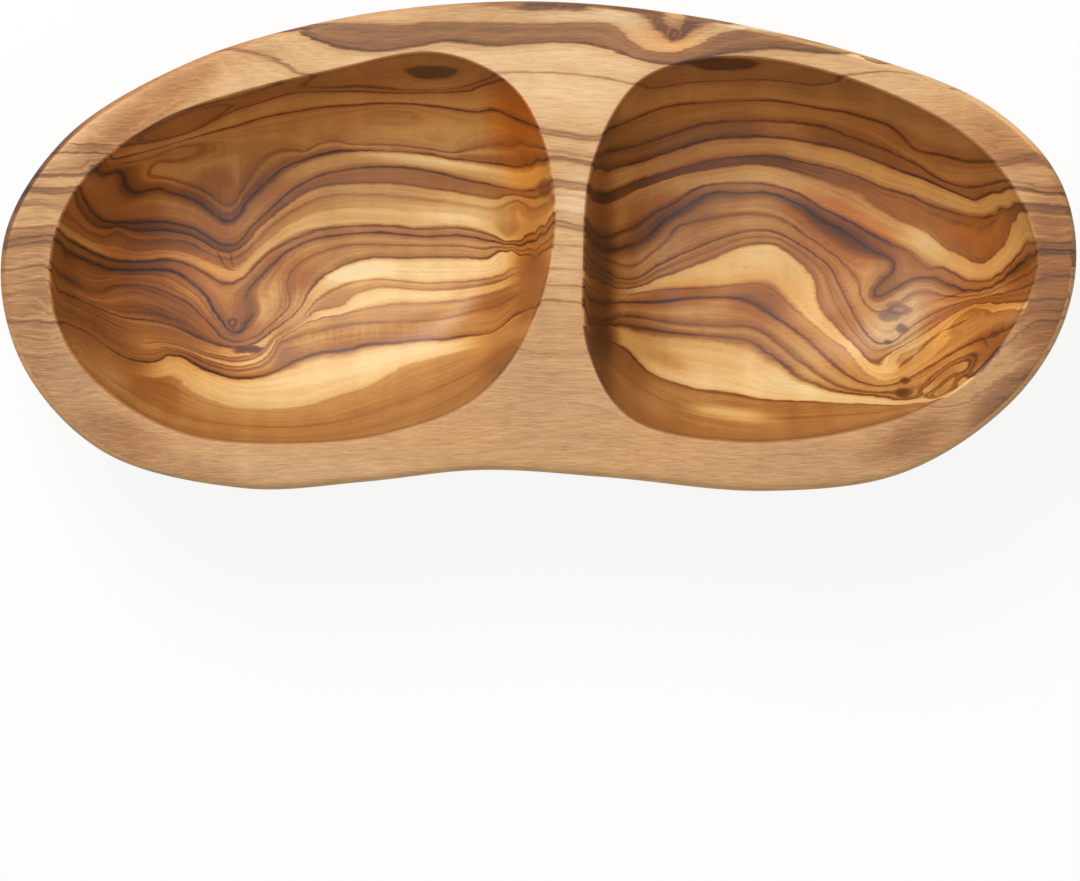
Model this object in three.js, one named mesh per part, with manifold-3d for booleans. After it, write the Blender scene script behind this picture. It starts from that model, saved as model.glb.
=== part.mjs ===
// A double serving dish, carved from one block of wood.
// Two hollows lie end to end, with a narrow divider left standing between them.
// Seen from above the outline is bean shaped: bowed at the back, waisted at the front.
//
// Millimetres, +Z up, +X along the dish, +Y towards the bowed back.
// The origin lies on the surface that the dish stands on, under the middle of its outline.

import * as THREE from 'three';
import Module from 'manifold-3d';

const manifold = await Module();
manifold.setup();

// Overall size

const LENGTH = 250;
const WIDTH = 114;
const RIM_HEIGHT = 43.5;

// The rim is level, and sweeps up over its last stretch towards the -X end.

const SWEEP_RISE = 3.5;
const SWEEP_LENGTH = 75;

// The foot is sanded flat.

const FOOT_LENGTH = 170;
const FOOT_WIDTH = 82;

// Wood left under the deepest point of each hollow, and how far the floor rises to its edge

const FLOOR_THICKNESS = 10;
const FLOOR_DISH = 2.2;

// Rounding of the rim: its outer edge, and the edge of each hollow

const OUTER_ROUND = 2;
const INNER_ROUND = 0.9;

// The divider leans a little, so the hollows' extents come closer than its own thickness.

const DIVIDER_X = 6.9;
const HOLLOW_SPACING = 5.7;

// How far the cutters stand above the rim

const CUT_OVERRUN = 4;

// Outline of the rim, as shares of half the length and half the width, from the +X end round
// by the back

const OUTLINE_SHARES = [
  [1.0, -0.017], [0.963, 0.296], [0.837, 0.573], [0.614, 0.772], [0.299, 0.935],
  [-0.035, 1.0], [-0.369, 0.931], [-0.666, 0.736], [-0.889, 0.426], [-0.998, 0.01],
  [-0.967, -0.465], [-0.814, -0.839], [-0.555, -0.99], [-0.332, -0.965], [-0.109, -0.915],
  [0.113, -0.943], [0.429, -1.002], [0.67, -0.933], [0.863, -0.672], [0.967, -0.363],
];

// Each hollow: the width of the rim beside it, how far its walls run in from the rim to the
// floor, and its mouth as shares of half its own length and width, the same way round.
// endSide is -1 for the hollow at the -X end and 1 for the other.

const LEFT_HOLLOW = {
  endSide: -1,
  endRim: 11.1,
  backRim: 11.6,
  frontRim: 10.7,
  endRun: 37,
  dividerRun: 21,
  backRun: 33,
  frontRun: 27,
  mouthShares: [
    [1.0, 0.291], [0.856, 0.797], [0.553, 1.0], [0.108, 0.914], [-0.561, 0.656],
    [-0.896, 0.306], [-1.002, -0.073], [-0.955, -0.443], [-0.785, -0.727], [-0.463, -0.954],
    [-0.049, -1.003], [0.344, -0.949], [0.703, -0.757], [0.935, -0.316],
  ],
};

const RIGHT_HOLLOW = {
  endSide: 1,
  endRim: 8.6,
  backRim: 12.6,
  frontRim: 11.1,
  endRun: 37,
  dividerRun: 20,
  backRun: 33,
  frontRun: 27,
  mouthShares: [
    [1.0, -0.032], [0.778, 0.493], [0.257, 0.853], [-0.348, 1.0], [-0.743, 0.874],
    [-0.948, 0.457], [-0.991, -0.068], [-0.97, -0.521], [-0.787, -0.876], [-0.287, -1.003],
    [0.235, -0.933], [0.583, -0.779], [0.835, -0.511],
  ],
};

// Belly under the rim: a cubic curve from the foot's edge to the rim, in shares of the run
// between them and of the height. It is fuller and steeper at the -X end than at the +X end.

const FOOT_HANDLE_SHARE = 0.3;
const BELLY_DROP_SHARES = [0.6, 0.37];
const BELLY_FLARE_SHARES = [0.09, 0.137];

// Wall of a hollow, in the same way: steep under the rim, then easing into the floor

const WALL_DROP_SHARE = 0.6;
const WALL_LEAN_SHARE = 0.14;
const WALL_TOE_SHARE = 0.5;

// Fineness of the faceted surfaces, as counts

const OUTLINE_STEPS = 108;
const MOUTH_STEPS = 72;
const BELLY_STEPS = 9;
const WALL_STEPS = 8;
const ROUND_STEPS = 3;
const TOP_RINGS = 7;
const FLOOR_RINGS = 3;

/** Height of the rim above the standing surface at a place along the dish. */
function rimHeight(x) {
  const sweepStart = LENGTH / 2 - SWEEP_LENGTH;
  return RIM_HEIGHT + SWEEP_RISE * THREE.MathUtils.smoothstep(-x, sweepStart, LENGTH / 2);
}

/** A value that runs from one at the -X end to another at the +X end. */
function alongDish([atMinusX, atPlusX], x) {
  return THREE.MathUtils.lerp(atMinusX, atPlusX, x / LENGTH + 1 / 2);
}

/** Closed smooth curve through points given as shares, stretched to fill a box exactly. */
function closedOutline(shares, box, steps) {
  const size = box.getSize(new THREE.Vector2());
  const corners = shares.map(([x, y]) => new THREE.Vector3(x * size.x / 2, y * size.y / 2, 0));
  const curve = new THREE.CatmullRomCurve3(corners, true, 'centripetal');
  const points = curve.getSpacedPoints(steps).slice(0, -1).map(({ x, y }) => new THREE.Vector2(x, y));
  const drawn = new THREE.Box2().setFromPoints(points);
  const stretch = size.divide(drawn.getSize(new THREE.Vector2()));
  return points.map((point) => point.sub(drawn.min).multiply(stretch).add(box.min));
}

/** The outline moved outwards by a distance, or inwards by a negative one. */
function offsetOutline(points, distance) {
  return points.map((point, i) => {
    const before = points.at(i - 1);
    const after = points[(i + 1) % points.length];
    const outward = new THREE.Vector2(after.y - before.y, before.x - after.x).normalize();
    return point.clone().addScaledVector(outward, distance);
  });
}

/** Ring of 3-D points over an outline, at the rim's height less a depth. */
function ringBelowRim(outline, depth) {
  return outline.map(({ x, y }) => new THREE.Vector3(x, y, rimHeight(x) - depth));
}

/** Rings of a quarter round under the rim, from its side up to the flat top. */
function quarterRound(outline, radius, inwardSign) {
  const rings = [];
  for (let step = 0; step <= ROUND_STEPS; step += 1) {
    const angle = (step / ROUND_STEPS) * Math.PI / 2;
    const inset = radius * (1 - Math.cos(angle));
    rings.push(ringBelowRim(offsetOutline(outline, inwardSign * inset), radius * (1 - Math.sin(angle))));
  }
  return rings;
}

/** Solid between a stack of equal rings, closed by a fan at the first and at the last one. */
function solidFromRings(rings) {
  const count = rings[0].length;
  const centres = [rings[0], rings.at(-1)].map(centreOf);
  const points = [...rings.flat(), ...centres];
  const [firstCentre, lastCentre] = [rings.length * count, rings.length * count + 1];
  const faces = [];
  for (let i = 0; i < count; i += 1) {
    const next = (i + 1) % count;
    const lastRing = (rings.length - 1) * count;
    faces.push([firstCentre, next, i], [lastCentre, lastRing + i, lastRing + next]);
    for (let lower = 0; lower < lastRing; lower += count) {
      const upper = lower + count;
      faces.push([lower + i, lower + next, upper + next], [lower + i, upper + next, upper + i]);
    }
  }
  const vertProperties = Float32Array.from(points.flatMap((point) => point.toArray()));
  const mesh = new manifold.Mesh({ numProp: 3, vertProperties, triVerts: Uint32Array.from(faces.flat()) });
  return new manifold.Manifold(mesh);
}

/** Middle of a ring. */
function centreOf(ring) {
  const sum = ring.reduce((total, point) => total.add(point), new THREE.Vector3());
  return sum.divideScalar(ring.length);
}

/** Box of the given length and width round the origin. */
function centredBox(length, width) {
  return new THREE.Box2().setFromCenterAndSize(new THREE.Vector2(), new THREE.Vector2(length, width));
}

/** Rings of the belly, from the edge of the flat foot up to the start of the rim's rounding. */
function bellyRings(outline) {
  const footScale = new THREE.Vector2(FOOT_LENGTH / LENGTH, FOOT_WIDTH / WIDTH);
  const foot = outline.map((point) => point.clone().multiply(footScale));
  const profiles = outline.map(({ x }) => new THREE.CubicBezierCurve(
    new THREE.Vector2(0, 0),
    new THREE.Vector2(FOOT_HANDLE_SHARE, 0),
    new THREE.Vector2(1 - alongDish(BELLY_FLARE_SHARES, x), 1 - alongDish(BELLY_DROP_SHARES, x)),
    new THREE.Vector2(1, 1),
  ));
  const rings = [];
  for (let step = 0; step < BELLY_STEPS; step += 1) {
    rings.push(outline.map((point, i) => {
      const share = profiles[i].getPoint(step / BELLY_STEPS);
      const { x, y } = foot[i].clone().lerp(point, share.x);
      return new THREE.Vector3(x, y, share.y * (rimHeight(point.x) - OUTER_ROUND));
    }));
  }
  return rings;
}

/** Rings of the rim's top, from its outer edge in towards the middle of the dish. */
function topRings(edge) {
  const rings = [];
  for (let step = 1; step < TOP_RINGS; step += 1) {
    const scale = 1 - step / TOP_RINGS;
    rings.push(ringBelowRim(edge.map((point) => point.clone().multiplyScalar(scale)), 0));
  }
  return rings;
}

/** The block shaped on the outside: flat foot, belly, and a solid top. */
function outerBody() {
  const outline = closedOutline(OUTLINE_SHARES, centredBox(LENGTH, WIDTH), OUTLINE_STEPS);
  const round = quarterRound(outline, OUTER_ROUND, -1);
  const top = topRings(offsetOutline(outline, -OUTER_ROUND));
  return solidFromRings([...bellyRings(outline), ...round, ...top]);
}

/** Box in plan that a hollow's mouth fills. */
function mouthBox({ endSide, endRim, backRim, frontRim }) {
  const endX = endSide * (LENGTH / 2 - endRim);
  const dividerX = DIVIDER_X + endSide * HOLLOW_SPACING / 2;
  return new THREE.Box2(
    new THREE.Vector2(Math.min(endX, dividerX), frontRim - WIDTH / 2),
    new THREE.Vector2(Math.max(endX, dividerX), WIDTH / 2 - backRim),
  );
}

/** Oval floor of a hollow, with a point for each point of the mouth. */
function floorOutline({ endSide, endRun, dividerRun, backRun, frontRun }, mouth) {
  const box = new THREE.Box2().setFromPoints(mouth);
  box.min.x += endSide < 0 ? endRun : dividerRun;
  box.max.x -= endSide < 0 ? dividerRun : endRun;
  box.min.y += frontRun;
  box.max.y -= backRun;
  const centre = box.getCenter(new THREE.Vector2());
  const half = box.getSize(new THREE.Vector2()).divideScalar(2);
  return mouth.map((point) => {
    const direction = point.clone().sub(centre).divide(half).normalize();
    return direction.multiply(half).add(centre);
  });
}

/** Rings of a hollow's wall, from under the rounded edge down to the floor's edge. */
function wallRings(wallTop, floor) {
  const edgeHeight = FLOOR_THICKNESS + FLOOR_DISH;
  const profile = new THREE.CubicBezierCurve(
    new THREE.Vector2(0, 1),
    new THREE.Vector2(WALL_LEAN_SHARE, 1 - WALL_DROP_SHARE),
    new THREE.Vector2(1 - WALL_TOE_SHARE, 0),
    new THREE.Vector2(1, 0),
  );
  const rings = [];
  for (let step = 1; step <= WALL_STEPS; step += 1) {
    const share = profile.getPoint(step / WALL_STEPS);
    rings.push(wallTop.map((point, i) => {
      const { x, y } = new THREE.Vector2(point.x, point.y).lerp(floor[i], share.x);
      return new THREE.Vector3(x, y, THREE.MathUtils.lerp(edgeHeight, point.z, share.y));
    }));
  }
  return rings;
}

/** Rings of a hollow's floor, dished from its edge to its middle. */
function floorRings(edgeRing) {
  const centre = centreOf(edgeRing);
  const rings = [];
  for (let step = 1; step <= FLOOR_RINGS; step += 1) {
    const scale = 1 - step / (FLOOR_RINGS + 1);
    rings.push(edgeRing.map((point) => {
      const { x, y } = point.clone().lerp(centre, 1 - scale);
      return new THREE.Vector3(x, y, FLOOR_THICKNESS + FLOOR_DISH * scale ** 2);
    }));
  }
  return rings;
}

/** Cutter for one hollow, from above the rim down to its floor. */
function hollowCutter(hollow) {
  const mouth = closedOutline(hollow.mouthShares, mouthBox(hollow), MOUTH_STEPS);
  const lip = quarterRound(offsetOutline(mouth, -INNER_ROUND), INNER_ROUND, 1).reverse();
  const flare = lip[0].map((point, i) => point.clone().multiplyScalar(2).sub(lip[1][i]));
  const above = flare.map(({ x, y, z }) => new THREE.Vector3(x, y, z + CUT_OVERRUN));
  const wallTop = lip.at(-1);
  const wall = wallRings(wallTop, floorOutline(hollow, mouth));
  const downwards = [above, flare, ...lip.slice(1), ...wall, ...floorRings(wall.at(-1))];
  return solidFromRings(downwards.reverse());
}

/** Named mesh of a finished solid. */
function meshOf(solid, name, material) {
  const { vertProperties, triVerts } = solid.getMesh();
  const geometry = new THREE.BufferGeometry();
  geometry.setAttribute('position', new THREE.BufferAttribute(vertProperties, 3));
  geometry.setIndex(new THREE.BufferAttribute(triVerts, 1));
  geometry.computeVertexNormals();
  const mesh = new THREE.Mesh(geometry, material);
  mesh.name = name;
  return mesh;
}

const oiledWood = new THREE.MeshStandardMaterial({ color: 0xb9824a, roughness: 0.5, metalness: 0 });
const carvedBody = outerBody().subtract(hollowCutter(LEFT_HOLLOW)).subtract(hollowCutter(RIGHT_HOLLOW));

const dish = new THREE.Group();
dish.add(meshOf(carvedBody, 'dish_body', oiledWood));

export default dish;
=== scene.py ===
"""Divided serving dish carved from one block of olive wood.

The dish is one closed mesh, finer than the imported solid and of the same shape. Its figure
follows the growth rings of the log: a smooth field of ring levels is laid through guide
lines drawn on views of the dish, and the material turns each level into the tone of that
ring.
"""
import logging
import math
from collections.abc import Iterable, Sequence
from dataclasses import dataclass, field
from enum import Enum
from typing import TypeVar

import bmesh
import bpy
import numpy as np
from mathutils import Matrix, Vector
from mathutils.bvhtree import BVHTree
from mathutils.geometry import delaunay_2d_cdt


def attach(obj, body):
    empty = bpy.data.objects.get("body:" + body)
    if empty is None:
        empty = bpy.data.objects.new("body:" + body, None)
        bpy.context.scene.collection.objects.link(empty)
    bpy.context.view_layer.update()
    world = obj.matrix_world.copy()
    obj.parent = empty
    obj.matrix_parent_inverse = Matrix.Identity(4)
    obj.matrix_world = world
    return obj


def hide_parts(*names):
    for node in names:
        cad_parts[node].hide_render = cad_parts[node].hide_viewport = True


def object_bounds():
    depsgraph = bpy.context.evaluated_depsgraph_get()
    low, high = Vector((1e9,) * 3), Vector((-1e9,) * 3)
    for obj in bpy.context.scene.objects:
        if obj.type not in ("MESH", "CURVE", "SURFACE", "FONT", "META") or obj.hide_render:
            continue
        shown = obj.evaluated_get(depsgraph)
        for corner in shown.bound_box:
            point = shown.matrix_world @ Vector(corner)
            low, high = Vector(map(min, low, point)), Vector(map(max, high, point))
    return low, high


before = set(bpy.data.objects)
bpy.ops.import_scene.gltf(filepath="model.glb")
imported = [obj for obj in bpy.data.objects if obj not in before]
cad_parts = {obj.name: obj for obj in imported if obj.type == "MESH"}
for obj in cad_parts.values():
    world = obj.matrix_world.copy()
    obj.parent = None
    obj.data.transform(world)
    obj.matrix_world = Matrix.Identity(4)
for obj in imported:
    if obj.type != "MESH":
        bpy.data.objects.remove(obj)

log = logging.getLogger("dish")
Mark = TypeVar("Mark")

MM = 0.001
NODE = "dish_body"
BODY = "root"
CAD_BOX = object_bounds()

LENGTH = 250.0
RIM_HEIGHT = 43.5
DIVIDER_X = 6.9

Shares = tuple[tuple[float, float], ...]
Profile = tuple[tuple[float, float], ...]
Colours = tuple[tuple[float, int, int, int], ...]
Array = np.ndarray
Node = bpy.types.Node
Object = bpy.types.Object
Tree = bpy.types.NodeTree
Socket = bpy.types.NodeSocket
Sockets = dict[str, Socket]


# Drawings that the guide lines are laid on

# All views are drawn to one scale, with the dish 1079 units long.
DRAWING_LENGTH = 1079.0
PLAN_MIDDLE = (539.0, 245.5)
BACK_VIEW_END = 1078.0
BACK_VIEW_FOOT = 871.0
# The back view looks down by this much for each unit of depth.
BACK_VIEW_TILT = 0.05


class View(Enum):
    """Drawing that a mark is laid on."""

    PLAN = "plan"
    BACK = "back"
    FRONT = "front"
    UNDER = "under"


class Zone(Enum):
    """Part of the surface with its own finish."""

    FOOT = 0
    BELLY = 1
    RIM = 2
    HOLLOW = 3


def smooth_lines(text: str, spacing: float = 13.0, longest_gap: float = 90.0) -> list[Array]:
    """Read drawn lines and run a smooth curve through the points of each.

    Args:
        text: points as "x,y" with blanks between them, and a "|" between separate lines.
        spacing: about how far apart the points of the curve are.
        longest_gap: a wider gap between two points parts the line.

    Returns:
        Points of each curve.
    """
    curves = []
    for drawn in text.split("|"):
        points = np.array([[float(value) for value in pair.split(",")] for pair in drawn.split()])
        steps = np.linalg.norm(np.diff(points, axis=0), axis=1)
        for line in np.split(points, np.flatnonzero(steps > longest_gap) + 1):
            if len(line) < 3:
                curves.append(line)
                continue
            walked = np.concatenate([[0], np.cumsum(np.linalg.norm(np.diff(line, axis=0), axis=1))])
            slopes = np.gradient(line, walked, axis=0)
            places = np.linspace(0, walked[-1], max(2, round(walked[-1] / spacing)) + 1)
            index = np.clip(np.searchsorted(walked, places, side="right") - 1, 0, len(line) - 2)
            run = (walked[index + 1] - walked[index])[:, None]
            t = (places - walked[index])[:, None] / run
            start, end = line[index], line[index + 1]
            handles = (start, start + slopes[index] * run / 3, end - slopes[index + 1] * run / 3, end)
            curves.append(bezier(handles, t))
    return curves


def to_linear(red: float, green: float, blue: float) -> tuple[float, float, float, float]:
    """Turn a colour of 0 to 255 a channel, as a screen shows it, into the renderer's own.

    Args:
        red: red channel.
        green: green channel.
        blue: blue channel.

    Returns:
        Linear colour with full alpha.
    """
    shown = [value / 255 for value in (red, green, blue)]
    linear = [s / 12.92 if s <= 0.04045 else ((s + 0.055) / 1.055) ** 2.4 for s in shown]
    return (linear[0], linear[1], linear[2], 1.0)


def smoothstep(value: Array | float, low: float, high: float) -> Array | float:
    """Ease a number, or each of an array, from 0 at low to 1 at high."""
    share = np.clip((value - low) / (high - low), 0.0, 1.0)
    return share * share * (3 - 2 * share)


def bezier(points: Sequence[Array], t: float | Array) -> Array:
    """Point of a cubic curve.

    Args:
        points: the four handles, or four sets of them.
        t: place along the curve, from 0 to 1.

    Returns:
        The point, or one point for each curve given.
    """
    s = 1 - t
    weights = (s ** 3, 3 * s * s * t, 3 * s * t * t, t ** 3)
    return sum(weight * handle for weight, handle in zip(weights, points))


# Shape


@dataclass(frozen=True)
class Hollow:
    """One of the two hollows, in millimetres.

    end_side is -1 for the hollow at the -X end and 1 for the other. The rims are the widths
    of wood beside the mouth, the runs are how far its walls come in before the floor, and
    mouth_shares is the mouth's outline in shares of half its own length and width.
    """

    end_side: int
    end_rim: float
    back_rim: float
    front_rim: float
    end_run: float
    divider_run: float
    back_run: float
    front_run: float
    mouth_shares: Shares


LEFT_HOLLOW = Hollow(
    -1, 11.1, 11.6, 10.7, 37, 21, 33, 27,
    ((1.0, 0.291), (0.856, 0.797), (0.553, 1.0), (0.108, 0.914), (-0.561, 0.656),
     (-0.896, 0.306), (-1.002, -0.073), (-0.955, -0.443), (-0.785, -0.727), (-0.463, -0.954),
     (-0.049, -1.003), (0.344, -0.949), (0.703, -0.757), (0.935, -0.316)),
)

RIGHT_HOLLOW = Hollow(
    1, 8.6, 12.6, 11.1, 37, 20, 33, 27,
    ((1.0, -0.032), (0.778, 0.493), (0.257, 0.853), (-0.348, 1.0), (-0.743, 0.874),
     (-0.948, 0.457), (-0.991, -0.068), (-0.97, -0.521), (-0.787, -0.876), (-0.287, -1.003),
     (0.235, -0.933), (0.583, -0.779), (0.835, -0.511)),
)


@dataclass
class DishShape:
    """Closed mesh of the dish, built ring by ring in millimetres."""

    length: float = LENGTH
    width: float = 114.0
    rim_height: float = RIM_HEIGHT
    sweep_rise: float = 3.5
    sweep_length: float = 75.0
    foot_length: float = 170.0
    foot_width: float = 82.0
    floor_thickness: float = 10.0
    floor_dish: float = 2.2
    outer_round: float = 2.0
    inner_round: float = 0.9
    divider_x: float = DIVIDER_X
    hollow_spacing: float = 5.7
    foot_handle: float = 0.3
    belly_drops: tuple[float, float] = (0.6, 0.37)
    belly_flares: tuple[float, float] = (0.09, 0.137)
    wall_drop: float = 0.6
    wall_lean: float = 0.14
    wall_toe: float = 0.5
    curve_steps: int = 60
    outline_steps: int = 540
    mouth_steps: int = 300
    belly_steps: int = 50
    foot_rings: int = 14
    outer_round_steps: int = 6
    inner_round_steps: int = 4
    wall_steps: int = 54
    floor_rings: int = 9
    rim_spacing: float = 1.15
    rim_clear: float = 0.69
    outline_shares: Shares = (
        (1.0, -0.017), (0.963, 0.296), (0.837, 0.573), (0.614, 0.772), (0.299, 0.935),
        (-0.035, 1.0), (-0.369, 0.931), (-0.666, 0.736), (-0.889, 0.426), (-0.998, 0.01),
        (-0.967, -0.465), (-0.814, -0.839), (-0.555, -0.99), (-0.332, -0.965), (-0.109, -0.915),
        (0.113, -0.943), (0.429, -1.002), (0.67, -0.933), (0.863, -0.672), (0.967, -0.363),
    )
    hollows: tuple[Hollow, ...] = (LEFT_HOLLOW, RIGHT_HOLLOW)
    points: list[Array] = field(default_factory=list)
    zones: list[Array] = field(default_factory=list)
    faces: list[tuple[int, ...]] = field(default_factory=list)
    count: int = 0

    def rim_top(self, x: Array) -> Array:
        """Height of the rim above the standing surface at places along the dish."""
        start = self.length / 2 - self.sweep_length
        return self.rim_height + self.sweep_rise * smoothstep(-x, start, self.length / 2)

    def along(self, pair: tuple[float, float], x: Array) -> Array:
        """Blend from the -X end's value to the +X end's, for places along the dish."""
        return pair[0] + (pair[1] - pair[0]) * (x / self.length + 0.5)

    def closed_outline(self, shares: Shares, low: Array, high: Array, steps: int) -> Array:
        """Draw a smooth closed curve that fills a box.

        Args:
            shares: corner points in shares of half the box.
            low: lowest corner of the box.
            high: highest corner of the box.
            steps: number of evenly spaced points wanted.

        Returns:
            The points, counter-clockwise from above.
        """
        corners = np.array(shares) * (high - low) / 2
        fine = []
        for i in range(len(corners)):
            p0, p1, p2, p3 = (corners[(i + k) % len(corners)] for k in (-1, 0, 1, 2))
            d0, d1, d2 = (math.sqrt(math.dist(a, b)) for a, b in ((p0, p1), (p1, p2), (p2, p3)))
            m1 = ((p1 - p0) / d0 - (p2 - p0) / (d0 + d1) + (p2 - p1) / d1) * d1
            m2 = ((p2 - p1) / d1 - (p3 - p1) / (d1 + d2) + (p3 - p2) / d2) * d1
            handles = np.array([p1, p1 + m1 / 3, p2 - m2 / 3, p2])
            fine.extend(bezier(handles, t) for t in np.arange(self.curve_steps) / self.curve_steps)
        loop = np.vstack([fine, fine[:1]])
        walked = np.concatenate([[0], np.cumsum(np.linalg.norm(np.diff(loop, axis=0), axis=1))])
        places = np.arange(steps) / steps * walked[-1]
        spaced = np.column_stack([np.interp(places, walked, loop[:, k]) for k in (0, 1)])
        drawn_low, drawn_high = spaced.min(axis=0), spaced.max(axis=0)
        return (spaced - drawn_low) / (drawn_high - drawn_low) * (high - low) + low

    @staticmethod
    def moved_out(outline: Array, distance: float) -> Array:
        """Move an outline outwards, or inwards by a negative distance.

        Args:
            outline: closed outline, counter-clockwise.
            distance: how far to move it.

        Returns:
            The moved outline.
        """
        run = np.roll(outline, -1, axis=0) - np.roll(outline, 1, axis=0)
        outward = np.column_stack([run[:, 1], -run[:, 0]])
        return outline + distance * outward / np.linalg.norm(outward, axis=1, keepdims=True)

    def below_rim(self, outline: Array, depth: float) -> Array:
        """Lift points in plan to the rim's height less a depth."""
        return np.column_stack([outline, self.rim_top(outline[:, 0]) - depth])

    def quarter_round(self, outline: Array, radius: float, way: int, steps: int) -> list[Array]:
        """Build the rings of a rounded edge, from its side up to the flat top.

        Args:
            outline: outline that the side of the edge stands on.
            radius: radius of the rounding.
            way: 1 to go outwards as the edge rises, -1 to go inwards.
            steps: number of facets across the rounding.

        Returns:
            The rings, lowest first.
        """
        rings = []
        for step in range(steps + 1):
            angle = step / steps * math.pi / 2
            inset = radius * (1 - math.cos(angle))
            rings.append(self.below_rim(self.moved_out(outline, way * inset), radius * (1 - math.sin(angle))))
        return rings

    def add(self, ring: Array, zone: Zone) -> Array:
        """Keep points of the mesh.

        Args:
            ring: points in space.
            zone: finish that they belong to.

        Returns:
            Index of each point.
        """
        self.points.append(ring)
        self.zones.append(np.full(len(ring), zone.value))
        self.count += len(ring)
        return np.arange(self.count - len(ring), self.count)

    def strip(self, lower: Array, upper: Array) -> None:
        """Join two equal rings, given as indices, with four-sided faces."""
        quads = np.column_stack([lower, np.roll(lower, -1), np.roll(upper, -1), upper])
        self.faces.extend(map(tuple, quads.tolist()))

    def fan(self, ring: Array, centre: int) -> None:
        """Close a ring with triangles to its centre, both given as indices."""
        tris = np.column_stack([ring, np.roll(ring, -1), np.full(len(ring), centre)])
        self.faces.extend(map(tuple, tris.tolist()))

    def outside(self) -> tuple[Array, Array]:
        """Build the foot, the belly and the rounded outer edge.

        Returns:
            Indices of the ring where the flat rim starts, and that ring in plan.
        """
        half = np.array([self.length, self.width]) / 2
        outline = self.closed_outline(self.outline_shares, -half, half, self.outline_steps)
        foot = outline * np.array([self.foot_length / self.length, self.foot_width / self.width])
        flat = np.zeros(len(foot))
        centre = int(self.add(np.zeros((1, 3)), Zone.FOOT)[0])
        rings = [
            self.add(np.column_stack([foot * step / self.foot_rings, flat]), Zone.FOOT)
            for step in range(1, self.foot_rings)
        ]
        self.fan(rings[0], centre)
        x = outline[:, 0]
        handles = np.array([
            [flat, flat],
            [flat + self.foot_handle, flat],
            [1 - self.along(self.belly_flares, x), 1 - self.along(self.belly_drops, x)],
            [flat + 1, flat + 1],
        ])
        for step in range(self.belly_steps):
            run, rise = bezier(handles, step / self.belly_steps)
            plan = foot + (outline - foot) * run[:, None]
            height = rise * (self.rim_top(x) - self.outer_round)
            rings.append(self.add(np.column_stack([plan, height]), Zone.BELLY))
        edge = self.quarter_round(outline, self.outer_round, -1, self.outer_round_steps)
        rings.extend(self.add(ring, Zone.BELLY) for ring in edge[:-2])
        rings.extend(self.add(ring, Zone.RIM) for ring in edge[-2:])
        for lower, upper in zip(rings, rings[1:]):
            self.strip(lower, upper)
        return rings[-1], edge[-1][:, :2]

    def mouth_box(self, hollow: Hollow) -> tuple[Array, Array]:
        """Find the box in plan that a hollow's mouth fills.

        Args:
            hollow: the hollow.

        Returns:
            Its lowest and highest corner.
        """
        end_x = hollow.end_side * (self.length / 2 - hollow.end_rim)
        inner_x = self.divider_x + hollow.end_side * self.hollow_spacing / 2
        low = np.array([min(end_x, inner_x), hollow.front_rim - self.width / 2])
        high = np.array([max(end_x, inner_x), self.width / 2 - hollow.back_rim])
        return low, high

    def floor_outline(self, hollow: Hollow, mouth: Array) -> Array:
        """Draw the oval floor of a hollow, with a point for each point of the mouth.

        Args:
            hollow: the hollow.
            mouth: its mouth in plan.

        Returns:
            The floor's edge in plan.
        """
        low, high = mouth.min(axis=0), mouth.max(axis=0)
        runs = (hollow.end_run, hollow.divider_run)
        at_low, at_high = runs if hollow.end_side < 0 else runs[::-1]
        low = low + np.array([at_low, hollow.front_run])
        high = high - np.array([at_high, hollow.back_run])
        centre, half = (low + high) / 2, (high - low) / 2
        direction = (mouth - centre) / half
        return centre + half * direction / np.linalg.norm(direction, axis=1, keepdims=True)

    def carve(self, hollow: Hollow) -> tuple[Array, Array]:
        """Build one hollow, from its rounded lip down to its dished floor.

        Args:
            hollow: the hollow.

        Returns:
            Indices of the ring where the flat rim starts, and that ring in plan.
        """
        low, high = self.mouth_box(hollow)
        mouth = self.closed_outline(hollow.mouth_shares, low, high, self.mouth_steps)
        side = self.moved_out(mouth, -self.inner_round)
        lip = self.quarter_round(side, self.inner_round, 1, self.inner_round_steps)[::-1]
        rings = [self.add(lip[0], Zone.RIM)]
        rings.extend(self.add(ring, Zone.HOLLOW) for ring in lip[1:])
        wall_top = lip[-1]
        floor = self.floor_outline(hollow, mouth)
        edge_height = self.floor_thickness + self.floor_dish
        handles = np.array([
            [0, 1], [self.wall_lean, 1 - self.wall_drop], [1 - self.wall_toe, 0], [1, 0],
        ])
        for step in range(1, self.wall_steps + 1):
            run, rise = bezier(handles, step / self.wall_steps)
            plan = wall_top[:, :2] + (floor - wall_top[:, :2]) * run
            height = edge_height + (wall_top[:, 2] - edge_height) * rise
            rings.append(self.add(np.column_stack([plan, height]), Zone.HOLLOW))
        centre = floor.mean(axis=0)
        for step in range(self.floor_rings, 0, -1):
            scale = step / (self.floor_rings + 1)
            plan = centre + (floor - centre) * scale
            height = np.full(len(plan), self.floor_thickness + self.floor_dish * scale ** 2)
            rings.append(self.add(np.column_stack([plan, height]), Zone.HOLLOW))
        for upper, lower in zip(rings, rings[1:]):
            self.strip(upper, lower)
        bottom = np.array([[*centre, self.floor_thickness]])
        self.fan(rings[-1], int(self.add(bottom, Zone.HOLLOW)[0]))
        return rings[0], lip[0][:, :2]

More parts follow.
